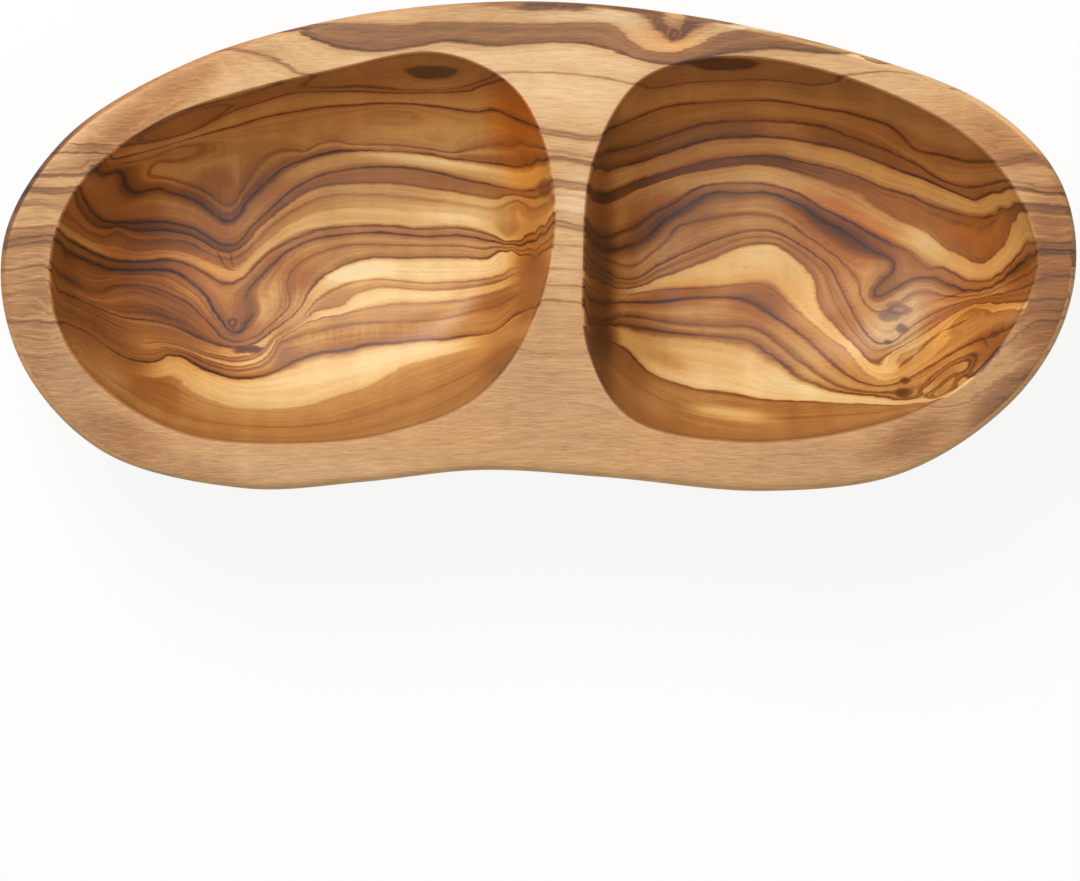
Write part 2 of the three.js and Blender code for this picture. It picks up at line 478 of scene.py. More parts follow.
    @staticmethod
    def inside(points: Array, loop: Array) -> Array:
        """Tell which points lie inside a closed loop.

        Args:
            points: points in plan.
            loop: closed loop in plan.

        Returns:
            True for each point inside.
        """
        x, y = points[:, :1], points[:, 1:]
        x0, y0 = loop[:, 0], loop[:, 1]
        x1, y1 = np.roll(x0, -1), np.roll(y0, -1)
        spans = (y0 > y) != (y1 > y)
        level = np.where(y1 == y0, 1.0, y1 - y0)
        return (spans & (x < (x1 - x0) * (y - y0) / level + x0)).sum(axis=1) % 2 == 1

    def flat_rim(self, loops: Sequence[tuple[Array, Array]]) -> None:
        """Fill the top between the outer edge and the mouths with small triangles.

        Args:
            loops: index and plan of each loop, the outer edge first.
        """
        row = self.rim_spacing * math.sqrt(3) / 2
        xs = np.arange(-self.length / 2, self.length / 2, self.rim_spacing)
        ys = np.arange(-self.width / 2, self.width / 2, row)
        grid = np.array([[x + (j % 2) * self.rim_spacing / 2, y] for j, y in enumerate(ys) for x in xs])
        keep = self.inside(grid, self.moved_out(loops[0][1], -self.rim_clear))
        for _, plan in loops[1:]:
            keep &= ~self.inside(grid, self.moved_out(plan, self.rim_clear))
        grid = grid[keep]
        inner = self.add(self.below_rim(grid, 0), Zone.RIM)
        index = np.concatenate([*(ids for ids, _ in loops), inner])
        plan = np.vstack([*(loop for _, loop in loops), grid])
        edges = []
        start = 0
        for ids, _ in loops:
            edges.extend((start + i, start + (i + 1) % len(ids)) for i in range(len(ids)))
            start += len(ids)
        found = delaunay_2d_cdt([Vector(p) for p in plan], edges, [], 0, 1e-6)
        spots, tris, origins = found[0], np.array(found[2]), found[3]
        middles = np.array([tuple(v) for v in spots])[tris].mean(axis=1)
        wood = self.inside(middles, loops[0][1])
        for _, loop in loops[1:]:
            wood &= ~self.inside(middles, loop)
        names = index[np.array([origin[0] for origin in origins])]
        self.faces.extend(map(tuple, names[tris[wood]].tolist()))

    def build(self) -> tuple[Array, Array, list[tuple[int, ...]]]:
        """Build the whole dish.

        Returns:
            Points in millimetres, the zone of each, and the faces.
        """
        loops = [self.outside(), *(self.carve(hollow) for hollow in self.hollows)]
        self.flat_rim(loops)
        return np.vstack(self.points), np.concatenate(self.zones), self.faces


# Growth rings


@dataclass(frozen=True)
class RingLine:
    """Line that one growth ring draws on the surface: its level and its points."""

    level: float
    points: str
    view: View = View.PLAN


def ring_lines(view: View, text: str) -> tuple[RingLine, ...]:
    """Read the ring lines of a view.

    Args:
        view: drawing that the lines are laid on.
        text: for each line its level and a colon, then its points as in smooth_lines.

    Returns:
        The lines.
    """
    rings: list[tuple[float, list[str]]] = []
    for word in text.split():
        if word.endswith(":"):
            rings.append((float(word[:-1]), []))
        else:
            rings[-1][1].append(word)
    return tuple(RingLine(level, " ".join(words), view) for level, words in rings)


RIM_LINES = ring_lines(View.PLAN, """
    0: 530,6 555,5 580,6 0: 648,10 662,25 672,36 679,36 684,30 693,17 -22: 672,12 673,22 13: 430,9 480,8
    610,10 630,18 650,36 668,44 690,40 712,28 24: 315,23 340,22 370,24 400,25 430,22 490,23 540,23 580,22
    610,25 625,37 640,48 660,52 675,54 690,48 705,40 730,30 750,27 46: 293,30 325,43 350,49 380,50 410,46
    440,41 470,42 495,45 520,42 560,41 590,44 620,52 645,60 670,63 695,60 715,54 740,49 780,48 820,52 860,53
    72: 228,48 250,51 268,57 283,64 298,72 312,76 520,71 560,72 600,77 636,83 845,75 865,72 890,70 910,72
    922,75 78: 60,143 80,144 100,145 116,144 130: 52,151 70,150 90,150 108,152 | 560,132 580,135 | 1025,155
    1040,154 1060,153 108: 1010,125 985,105 60: 570,55 900,58 940,72 965,88 68: 275,38 250,42 82: 215,56
    225,66 240,76 | 200,84 175,100 150,116 | 180,68 150,84 130,105 86: 160,100 140,115 120,130 100,136 |
    120,110 100,125 75,136 96: 560,95 590,100 150: 40,171 60,170 84,170 158: 34,177 60,176 80,176 | 558,158
    585,163 | 1020,188 1040,193 1068,195 148: 1015,180 1060,184 182: 26,187 45,188 60,188 74,187 | 557,180
    587,184 | 1030,203 1055,205 1072,207 188: 1031,211 1050,213 1073,215 203: 12,222 30,221 50,220 |
    1036,230 1076,232 212: 556,213 584,218 | 1034,243 1050,244 1078,247 219: 12,238 30,236 48,234 222: 5,245
    20,241 40,239 50,238 | 556,221 583,227 | 1042,249 1060,250 1078,251 236: 5,258 42,256 | 556,236 583,238
    246: 6,272 20,269 45,267 | 555,244 582,246 | 1040,280 1050,277 1076,278 269: 10,284 25,282 42,279 |
    552,269 581,270 | 1040,300 1070,300 285: 5,293 20,290 46,289 | 548,284 581,286 300: 10,322 25,322 45,321
    52,323 | 545,299 581,302 | 1038,320 1066,322 320: 12,336 50,340 | 535,325 583,325 | 1035,340 1058,344
    345: 540,350 585,350 18,350 58,352 1022,362 1048,366 380: 25,385 70,388 520,375 590,375 995,398 1025,402
    410: 60,415 110,425 190,448 300,448 400,440 470,420 540,400 600,405 640,425 700,446 780,448 860,440
    930,425 985,425 440: 110,455 180,465 300,465 400,457 480,440 560,425 640,445 700,462 790,465 870,455
    940,435 475: 200,486 300,484 400,476 480,468 560,468 640,474 720,486 800,488 880,478
""")

LEFT_LINES = ring_lines(View.PLAN, """
    50: 398,68 412,73 430,75 448,73 462,68 445,63 415,63 58: 375,70 385,64 400,79 430,81 455,79 475,69
    400,59 427,58 455,60 41: 420,69 442,69 72: 305,84 330,84 360,82 400,83 440,83 465,81 482,79 500,72 78:
    118,147 150,140 175,133 195,125 212,116 235,106 262,98 290,90 330,88 400,88 470,87 130: 120,156 150,146
    170,139 200,130 230,122 260,113 290,107 320,102 350,100 385,97 430,100 460,105 480,107 492,105 505,111
    520,119 545,129 148: 350,139 400,140 450,148 300,146 158: 112,170 120,183 130,190 150,183 160,187
    180,192 200,203 210,212 222,216 230,212 235,200 245,190 260,175 275,163 290,156 310,150 330,146 370,143
    400,144 425,147 450,152 475,156 500,160 520,163 545,160 150: 510,147 522,143 535,147 182: 78,186 82,199
    89,211 99,219 115,220 130,218 150,217 165,218 180,222 192,226 200,232 215,240 222,241 232,236 240,225
    250,215 262,205 270,197 280,188 295,178 310,170 330,164 350,161 380,160 405,161 430,165 450,170 470,175
    490,179 510,184 525,187 540,184 188: 250,222 280,198 300,185 320,178 350,176 390,176 420,180 450,185
    480,190 497,193 144: 150,166 175,171 200,180 225,192 196: 290,203 310,193 330,189 360,188 400,190
    430,195 60,215 110,226 203: 290,215 310,205 330,201 360,200 400,203 440,205 470,209 495,215 508,212
    518,203 208: 185,256 200,263 215,270 230,272 240,262 250,250 262,240 280,226 300,218 | 52,224 64,232
    78,241 95,249 115,253 140,254 212: 270,243 285,236 300,229 320,224 345,221 370,221 395,222 415,224
    440,222 465,224 480,227 492,232 510,238 530,233 545,224 222: 48,236 56,239 63,247 70,254 85,259 95,264
    108,267 120,267 140,266 155,266 170,270 182,278 195,290 205,308 218,325 226,332 232,330 236,322 243,316
    247,308 240,300 238,290 243,282 250,274 262,263 272,253 280,245 290,240 310,232 330,230 365,227 400,229
    425,232 450,230 470,232 490,236 512,242 525,240 540,232 236: 50,265 60,274 70,280 80,286 92,289 100,285
    115,281 130,281 145,284 160,290 180,300 200,318 215,335 | 252,333 262,322 275,310 285,300 280,290
    278,280 282,270 288,262 310,248 340,240 400,240 460,241 247: 55,290 80,302 100,310 120,316 150,319
    170,325 190,335 210,342 | 262,332 280,319 295,305 303,288 315,274 325,268 335,262 350,256 370,252
    400,253 430,252 460,252 490,253 508,243 518,250 535,256 268: 305,300 318,290 330,283 345,278 360,275
    400,277 425,279 450,278 470,277 490,275 505,270 515,264 540,263 276: 300,315 320,307 335,305 340,297
    350,290 365,284 380,282 400,284 425,286 450,285 480,281 500,277 515,270 530,267 285: 270,337 290,325
    310,316 335,311 360,306 380,303 400,301 430,300 460,297 490,290 510,283 530,277 292: 60,315 90,330
    110,345 130,352 165,350 270,344 300,333 330,325 360,320 400,318 440,316 480,306 303: 160,352 175,355
    190,365 205,371 220,376 240,378 260,374 280,366 300,357 320,352 340,350 360,345 380,343 400,341 420,338
    440,338 460,335 480,333 495,330 505,322 515,314 535,308 320: 165,376 175,384 190,393 210,401 240,407
    270,408 300,406 320,401 340,394 360,387 380,378 400,366 420,360 450,352 480,345 510,333 340: 75,345
    100,370 140,392 200,415 260,422 320,418 380,400 440,378 490,357 380: 95,375 140,412 200,432 270,438
    340,434 410,415 460,393 500,362
""")

RIGHT_LINES = ring_lines(View.PLAN, """
    50: 685,64 700,67 725,68 750,67 766,63 58: 672,68 700,72 730,73 755,71 780,66 40: 710,61 740,61 72:
    650,86 668,83 690,79 720,77 760,76 790,78 820,82 838,79 130: 598,136 610,128 640,113 660,104 680,100
    710,97 740,95 770,95 800,99 830,105 850,108 870,114 890,120 905,130 915,140 925,148 940,150 955,155
    980,161 997,162 148: 605,150 620,146 640,140 670,130 700,120 730,115 760,114 800,117 830,121 850,128
    870,135 890,143 905,150 925,160 945,175 965,182 980,184 1000,181 158: 595,168 605,169 620,163 640,158
    660,150 690,140 720,132 750,130 780,131 810,135 830,139 850,143 870,150 890,158 910,167 930,174 950,183
    970,192 983,197 990,193 1005,191 182: 600,190 615,188 630,180 650,173 670,166 690,160 720,153 750,150
    780,150 800,154 830,160 850,165 870,173 890,182 920,191 940,201 955,205 965,209 980,211 998,212 1004,206
    1012,203 1030,204 188: 690,165 720,159 755,156 780,158 800,162 830,170 850,177 870,183 880,193 905,210
    925,219 940,228 947,236 955,243 965,247 973,251 980,258 988,261 994,258 1001,252 1008,245 1011,238
    1015,226 1019,217 1030,211 198: 700,174 760,166 820,186 880,214 905,226 930,236 945,247 960,256 975,263
    988,268 1000,262 1012,250 1018,238 1024,224 206: 930,247 945,256 962,265 975,271 988,273 1002,268
    1014,257 1024,243 1030,232 212: 660,205 680,195 700,183 720,177 740,176 770,178 790,182 810,190 825,200
    840,208 860,218 880,230 900,239 918,247 930,260 940,267 948,263 956,265 964,271 972,277 985,278 1000,277
    1010,270 1020,258 1030,247 1036,243 222: 592,240 605,247 620,245 640,238 655,228 665,217 680,207 695,197
    710,189 725,186 745,187 765,186 785,190 800,196 815,202 830,215 845,222 860,231 870,239 880,246 890,250
    900,254 905,259 903,266 897,271 890,277 884,284 880,291 886,295 893,292 900,287 907,283 915,277 922,275
    930,273 940,272 947,276 955,280 965,283 975,286 985,286 995,284 1003,280 1011,273 1020,266 1027,258
    1034,250 1042,249 216: 898,246 908,250 914,258 913,265 906,272 914,271 925,268 938,268 229: 893,259
    886,268 878,278 872,292 880,302 895,300 910,290 925,282 942,283 955,289 975,294 990,292 1003,287
    1016,279 1030,272 1040,262 232: 680,222 700,215 720,212 745,209 765,209 785,213 800,222 815,233 830,243
    845,255 858,268 868,285 247: 595,262 620,275 640,275 660,262 680,252 700,243 720,235 745,227 765,225
    785,228 800,236 815,245 830,255 840,265 846,280 855,296 862,312 872,328 884,341 900,340 920,324 945,309
    975,299 1008,292 268: 597,276 610,283 625,286 640,283 660,275 680,268 700,260 720,252 740,243 760,239
    780,240 795,247 805,255 815,265 822,278 823,295 828,308 840,320 850,332 860,342 872,355 883,366 891,356
    905,347 925,337 945,323 960,312 975,303 990,299 1008,301 277: 600,290 620,291 640,290 660,287 690,286
    720,284 745,281 765,280 779,285 787,292 793,300 803,308 815,318 825,326 840,338 855,350 868,366 880,376
    892,380 905,376 925,366 945,352 960,339 975,327 990,317 1015,308 285: 605,300 640,300 670,298 700,293
    730,293 750,295 765,302 780,313 800,326 815,337 830,352 845,367 860,378 890,385 930,368 970,345 1015,325
    298: 620,312 640,313 660,316 690,320 730,322 760,324 778,334 795,348 812,362 830,375 850,386 890,391
    930,385 303: 590,325 610,325 625,324 640,327 660,330 680,332 720,335 740,337 755,340 765,348 780,358
    790,367 800,375 820,384 840,391 860,394 880,396 897,400 273: 700,268 735,264 765,262 | 790,268 800,280
    184.5: 955,216 962,221 975,225 985,230 991,232 997,227 1001,222 1005,213 186.5: 968,234 975,239 985,241
    993,242 1000,237 1005,232 1009,222 1014,213 308: 928,390 938,384 948,377 957,368 963,365 967,370 964,380
    958,390 293: 920,394 940,395 | 950,386 956,378 | 975,372 990,356 1005,340 320: 605,335 625,345 650,369
    680,381 700,387 730,391 760,397 800,400 850,402 897,405 345: 603,352 630,378 665,400 700,412 760,418
    820,416 880,412 930,405 385: 612,375 640,405 680,427 740,438 800,436 860,425 910,410
""")

BACK_LINES = ring_lines(View.BACK, """
    46: 197,690 190,695 182,703 177,709 165,712 155,712 149,716 146,722 146,728 150,733 163,741 180,753
    200,765 210,770 220,773 248,775 258,778 280,789 300,798 325,806 350,813 358,816 364,822 370,829 380,834
    410,844 440,848 480,855 520,862 560,862 600,861 640,858 700,854 740,851 770,843 785,838 788,834 786,828
    788,822 793,817 800,814 820,812 840,816 860,820 868,820 885,814 900,804 905,797 907,789 909,782 918,770
    920,764 929,756 931,752 928,747 915,739 895,736 875,732 855,724 848,719 840,712 820,704 800,698 785,697
    770,696 24: 212,690 206,694 201,700 199,710 199,720 201,732 208,742 226,758 240,766 270,778 300,791
    330,800 358,808 372,816 385,823 400,831 430,840 470,848 510,856 540,858 600,854 680,850 720,847 750,839
    772,828 788,814 800,804 812,802 840,797 870,792 880,793 889,790 886,783 885,776 892,764 893,758 882,747
    870,742 842,736 835,731 828,724 810,716 790,710 775,704 762,699 32: 150,722 160,722 175,726 185,728
    193,732 200,738 205,748 222,766 240,771 14: 270,742 272,750 276,760 281,768 288,774 298,778 320,783
    340,791 360,800 372,805 385,814 400,824 | 738,807 750,809 780,812 797,805 12: 784,722 789,731 799,736
    814,740 821,748 823,758 818,768 804,776 797,784 6: 268,739 280,730 300,720 320,709 340,700 358,694
    380,691 400,688 420,692 445,695 480,697 545,699 600,702 620,704 670,704 715,704 735,711 765,724 772,730
    775,738 778,744 795,748 803,750 809,755 810,760 807,765 793,770 788,776 783,787 790,791 808,796 785,798
    755,800 747,802 742,806 741,812 745,820 748,830 738,837 700,845 640,849 600,851 540,855 490,849 450,840
    430,834 412,827 400,817 390,806 386,796 380,788 362,779 353,775 356,770 362,765 345,760 325,751 305,744
    285,741 274,741 -3.5: 385,698 375,700 360,706 345,714 330,722 318,732 322,742 335,748 350,755 365,761
    378,765 388,772 390,785 396,797 -9: 420,703 405,699 390,699 382,703 378,710 370,718 362,727 356,735
    357,745 362,753 372,760 385,763 393,768 396,780 402,792 408,802 416,812 | 420,703 440,711 470,715
    520,715 560,717 620,721 660,724 700,726 724,732 735,736 742,742 757,760 760,766 757,772 752,778 750,795
    744,800 722,806 696,816 -14: 392,712 378,726 370,740 385,754 | 420,712 440,718 520,722 600,727 680,732
    715,740 735,752 744,768 738,780 -22: 402,747 420,747 440,748 470,753 490,760 530,767 560,771 600,773
    640,772 675,775 715,775 742,782 -28: 404,762 425,766 437,762 455,760 475,763 490,765 530,771 600,777
    640,777 670,778 700,784 720,786 735,792 -42: 440,775 500,774 560,780 620,787 690,792 715,797 -60:
    440,814 447,800 463,790 480,785 500,784 520,785 560,789 580,789 600,793 630,802 650,806 680,812 |
    450,826 480,834 520,844 560,848 620,844 680,838 -70: 460,812 468,804 475,801 495,795 520,795 550,799
    575,800 600,806 640,812 665,819 680,824 | 480,829 520,840 560,844 620,840 -84: 490,815 520,815 570,822
    630,828 72: 145,687 120,696 101,703 103,712 105,718 102,726 103,733 107,740 120,751 130,755 160,756
    190,762 205,766 228,777 255,784 280,793 310,806 335,815 352,825 372,836 400,847 440,853 480,860 520,867
    560,868 600,867 640,864 | 861,694 880,700 918,704 940,710 955,720 950,735 943,750 938,758 922,770
    917,778 917,785 920,792 911,804 893,817 880,823 850,828 825,834 800,839 760,850 700,860 640,864 130:
    22,682 24,692 28,705 34,716 46,731 70,741 92,750 108,763 130,774 160,781 190,787 220,788 240,794 262,804
    290,816 330,830 375,845 430,856 470,863 500,869 | 1020,716 1008,737 988,760 975,772 950,790 928,806
    900,827 870,838 830,845 780,853 740,861 700,867 141: 100,772 130,787 165,797 200,802 235,811 270,821 |
    975,789 950,806 925,822 895,838 870,845 150: 48,748 70,765 100,781 120,795 140,806 165,811 200,818
    240,830 280,834 330,846 390,859 440,868 | 1042,712 1033,741 1015,765 1006,775 1000,787 983,807 955,823
    920,840 880,852 830,859 158: 55,762 85,784 115,804 140,817 165,825 200,831 230,837 275,848 340,861
    370,866 | 1047,714 1039,743 1022,768 1005,790 988,812 960,828 925,844 885,856 850,864 182: 80,791
    100,806 120,819 140,832 160,838 190,845 240,854 280,861 330,868 | 1060,690 1054,720 1042,747 1024,773
    1005,797 983,818 955,834 920,848 890,858 188: 95,811 120,828 145,841 160,842 200,851 220,854 205:
    110,831 130,846 150,853 180,857 220,865 240,869 | 1070,690 1060,728 1040,760 1028,778 1000,806
""")

FRONT_LINES = ring_lines(View.FRONT, """
    475: 190,8 260,14 340,16 420,12 500,8 580,8 660,14 740,20 820,16 890,8 440: 110,12 150,28 210,42 290,52
    370,50 450,40 530,34 610,40 690,54 770,62 840,56 900,40 950,16 410: 75,20 110,50 160,75 230,90 310,97
    390,94 470,84 550,80 630,86 710,100 790,106 860,100 920,80 970,50 1000,20 380: 40,20 70,60 110,90
    165,112 240,126 320,130 400,124 480,114 560,110 640,118 720,132 800,138 870,128 930,104 985,66 1020,24
    345: 28,30 60,84 100,116 160,140 240,153 320,157 400,151 480,143 560,139 640,147 720,158 800,162 870,152
    935,128 995,86 1040,30 318: 150,160 230,174 310,178 390,174 470,168 550,166 630,171 710,178 790,180
    860,172 925,150
""") + ring_lines(View.UNDER, """
    300: 220,330 300,336 380,336 460,330 540,330 620,335 700,341 780,338 860,326 268: 200,270 280,281
    360,283 440,278 520,275 600,278 680,288 760,290 820,280 880,268 240: 210,220 290,230 370,234 450,236
    530,233 610,230 690,234 770,234 870,216 216: 240,160 320,167 400,173 480,176 560,173 640,171 720,171
    800,164
""")


@dataclass
class SurfaceLocator:
    """Finds the place on the dish that a point of a drawing stands for."""

    points: Array
    faces: list[tuple[int, ...]]
    unit: float = LENGTH / DRAWING_LENGTH
    reach: float = 200.0

    def __post_init__(self) -> None:
        """Index the faces for ray casts."""
        self.tree = BVHTree.FromPolygons(self.points.tolist(), self.faces)

    def ray(self, spot: Sequence[float], view: View) -> tuple[Vector, Vector]:
        """Start and direction of the line of sight through a point of a drawing.

        Args:
            spot: point on the drawing.
            view: the drawing.

        Returns:
            Start and direction in millimetres.
        """
        if view is View.BACK:
            x = (BACK_VIEW_END - spot[0] - PLAN_MIDDLE[0]) * self.unit
            height = (BACK_VIEW_FOOT - spot[1]) * self.unit + BACK_VIEW_TILT * self.reach
            return Vector((x, self.reach, height)), Vector((0, -1, -BACK_VIEW_TILT))
        x = (spot[0] - PLAN_MIDDLE[0]) * self.unit
        if view is View.FRONT:
            return Vector((x, -self.reach, RIM_HEIGHT - spot[1] * self.unit)), Vector((0, 1, 0))
        y = (PLAN_MIDDLE[1] - spot[1]) * self.unit
        if view is View.UNDER:
            return Vector((x, y, -self.reach)), Vector((0, 0, 1))
        return Vector((x, y, self.reach)), Vector((0, 0, -1))

    def place(self, spot: Sequence[float], view: View = View.PLAN) -> Vector | None:
        """Find a drawn point on the dish in millimetres, or None where its line of sight misses."""
        return self.tree.ray_cast(*self.ray(spot, view))[0]

    def guides(self, lines: Iterable[RingLine]) -> tuple[Array, Array]:
        """Lay ring lines on the dish.

        Args:
            lines: the lines.

        Returns:
            Points in millimetres and the level of each.
        """
        found = [
            (place, line.level)
            for line in lines
            for curve in smooth_lines(line.points)
            for place in (self.place(spot, line.view) for spot in curve)
            if place is not None
        ]
        return np.array([tuple(place) for place, _ in found]), np.array([level for _, level in found])


@dataclass
class RingField:
    """Smooth field of ring levels through guide points, with a little slack at each."""

    guides: Array
    levels: Array
    softness: float = 1.2
    slack: float = 0.25
    chunk: int = 4000

    def __post_init__(self) -> None:
        """Solve for the weight of each guide point."""
        count = len(self.guides)
        size = count + 4
        matrix = np.zeros((size, size))
        matrix[:count, :count] = self.kernel(self.guides) - self.slack * np.eye(count)
        matrix[:count, count] = matrix[count, :count] = 1
        matrix[:count, count + 1:] = self.guides
        matrix[count + 1:, :count] = self.guides.T
        self.weights = np.linalg.solve(matrix, np.concatenate([self.levels, np.zeros(4)]))

    def kernel(self, places: Array) -> Array:
        """Softened distance from each place to each guide point.

        Args:
            places: points in millimetres.

        Returns:
            One row for each place.
        """
        squares = (
            (places ** 2).sum(axis=1)[:, None] + (self.guides ** 2).sum(axis=1)
            - 2 * places @ self.guides.T
        )
        return np.sqrt(np.maximum(squares, 0) + self.softness ** 2)

    def at(self, places: Array) -> Array:
        """Read the field and its slope.

        Args:
            places: points in millimetres.

        Returns:
            For each place its level, how many levels the field climbs there in a millimetre,
            and how many it climbs in a millimetre along the grain.
        """
        count = len(self.guides)
        weights, tilt = self.weights[:count], self.weights[count + 1:]
        found = []
        for start in range(0, len(places), self.chunk):
            block = places[start:start + self.chunk]
            kernel = self.kernel(block)
            level = kernel @ weights + self.weights[count] + block @ tilt
            pull = weights / kernel
            climb = block * pull.sum(axis=1, keepdims=True) - pull @ self.guides + tilt
            found.append(np.column_stack([level, np.linalg.norm(climb, axis=1), climb[:, 0]]))
        return np.vstack(found)


# Soft stained patches in the wood, and patches of painted light and shade


@dataclass(frozen=True)
class StainAndShade:
    """Soft oval patch on a drawing that is lighter or darker, warmer or cooler.

    A negative paleness holds the wood's tone down to a level, figure makes its ring streaks
    stronger, and curl gives it streaks across the grain. Most patches follow where the wood is
    stained, but some are painted shade and painted light that stand in for how the light falls.
    """

    middle: tuple[float, float]
    radii: tuple[float, float]
    turn: float = 0.0
    lighten: float = 0.0
    warmth: float = 0.0
    paleness: float = 0.0
    figure: float = 0.0
    curl: float = 0.0
    view: View = View.PLAN


def read_marks(kind: type[Mark], view: View, text: str) -> tuple[Mark, ...]:
    """Read marks of one kind.

    Args:
        kind: class of the marks. Its first two fields are pairs.
        view: drawing that the marks are laid on.
        text: the numbers of each mark in the order of its fields, where zeros at the end may
            be left out, with a "|" between marks.

    Returns:
        The marks.
    """
    rows = ([float(word) for word in row.split()] for row in text.split("|"))
    return tuple(kind((a, b), (c, d), *rest, view=view) for a, b, c, d, *rest in rows)


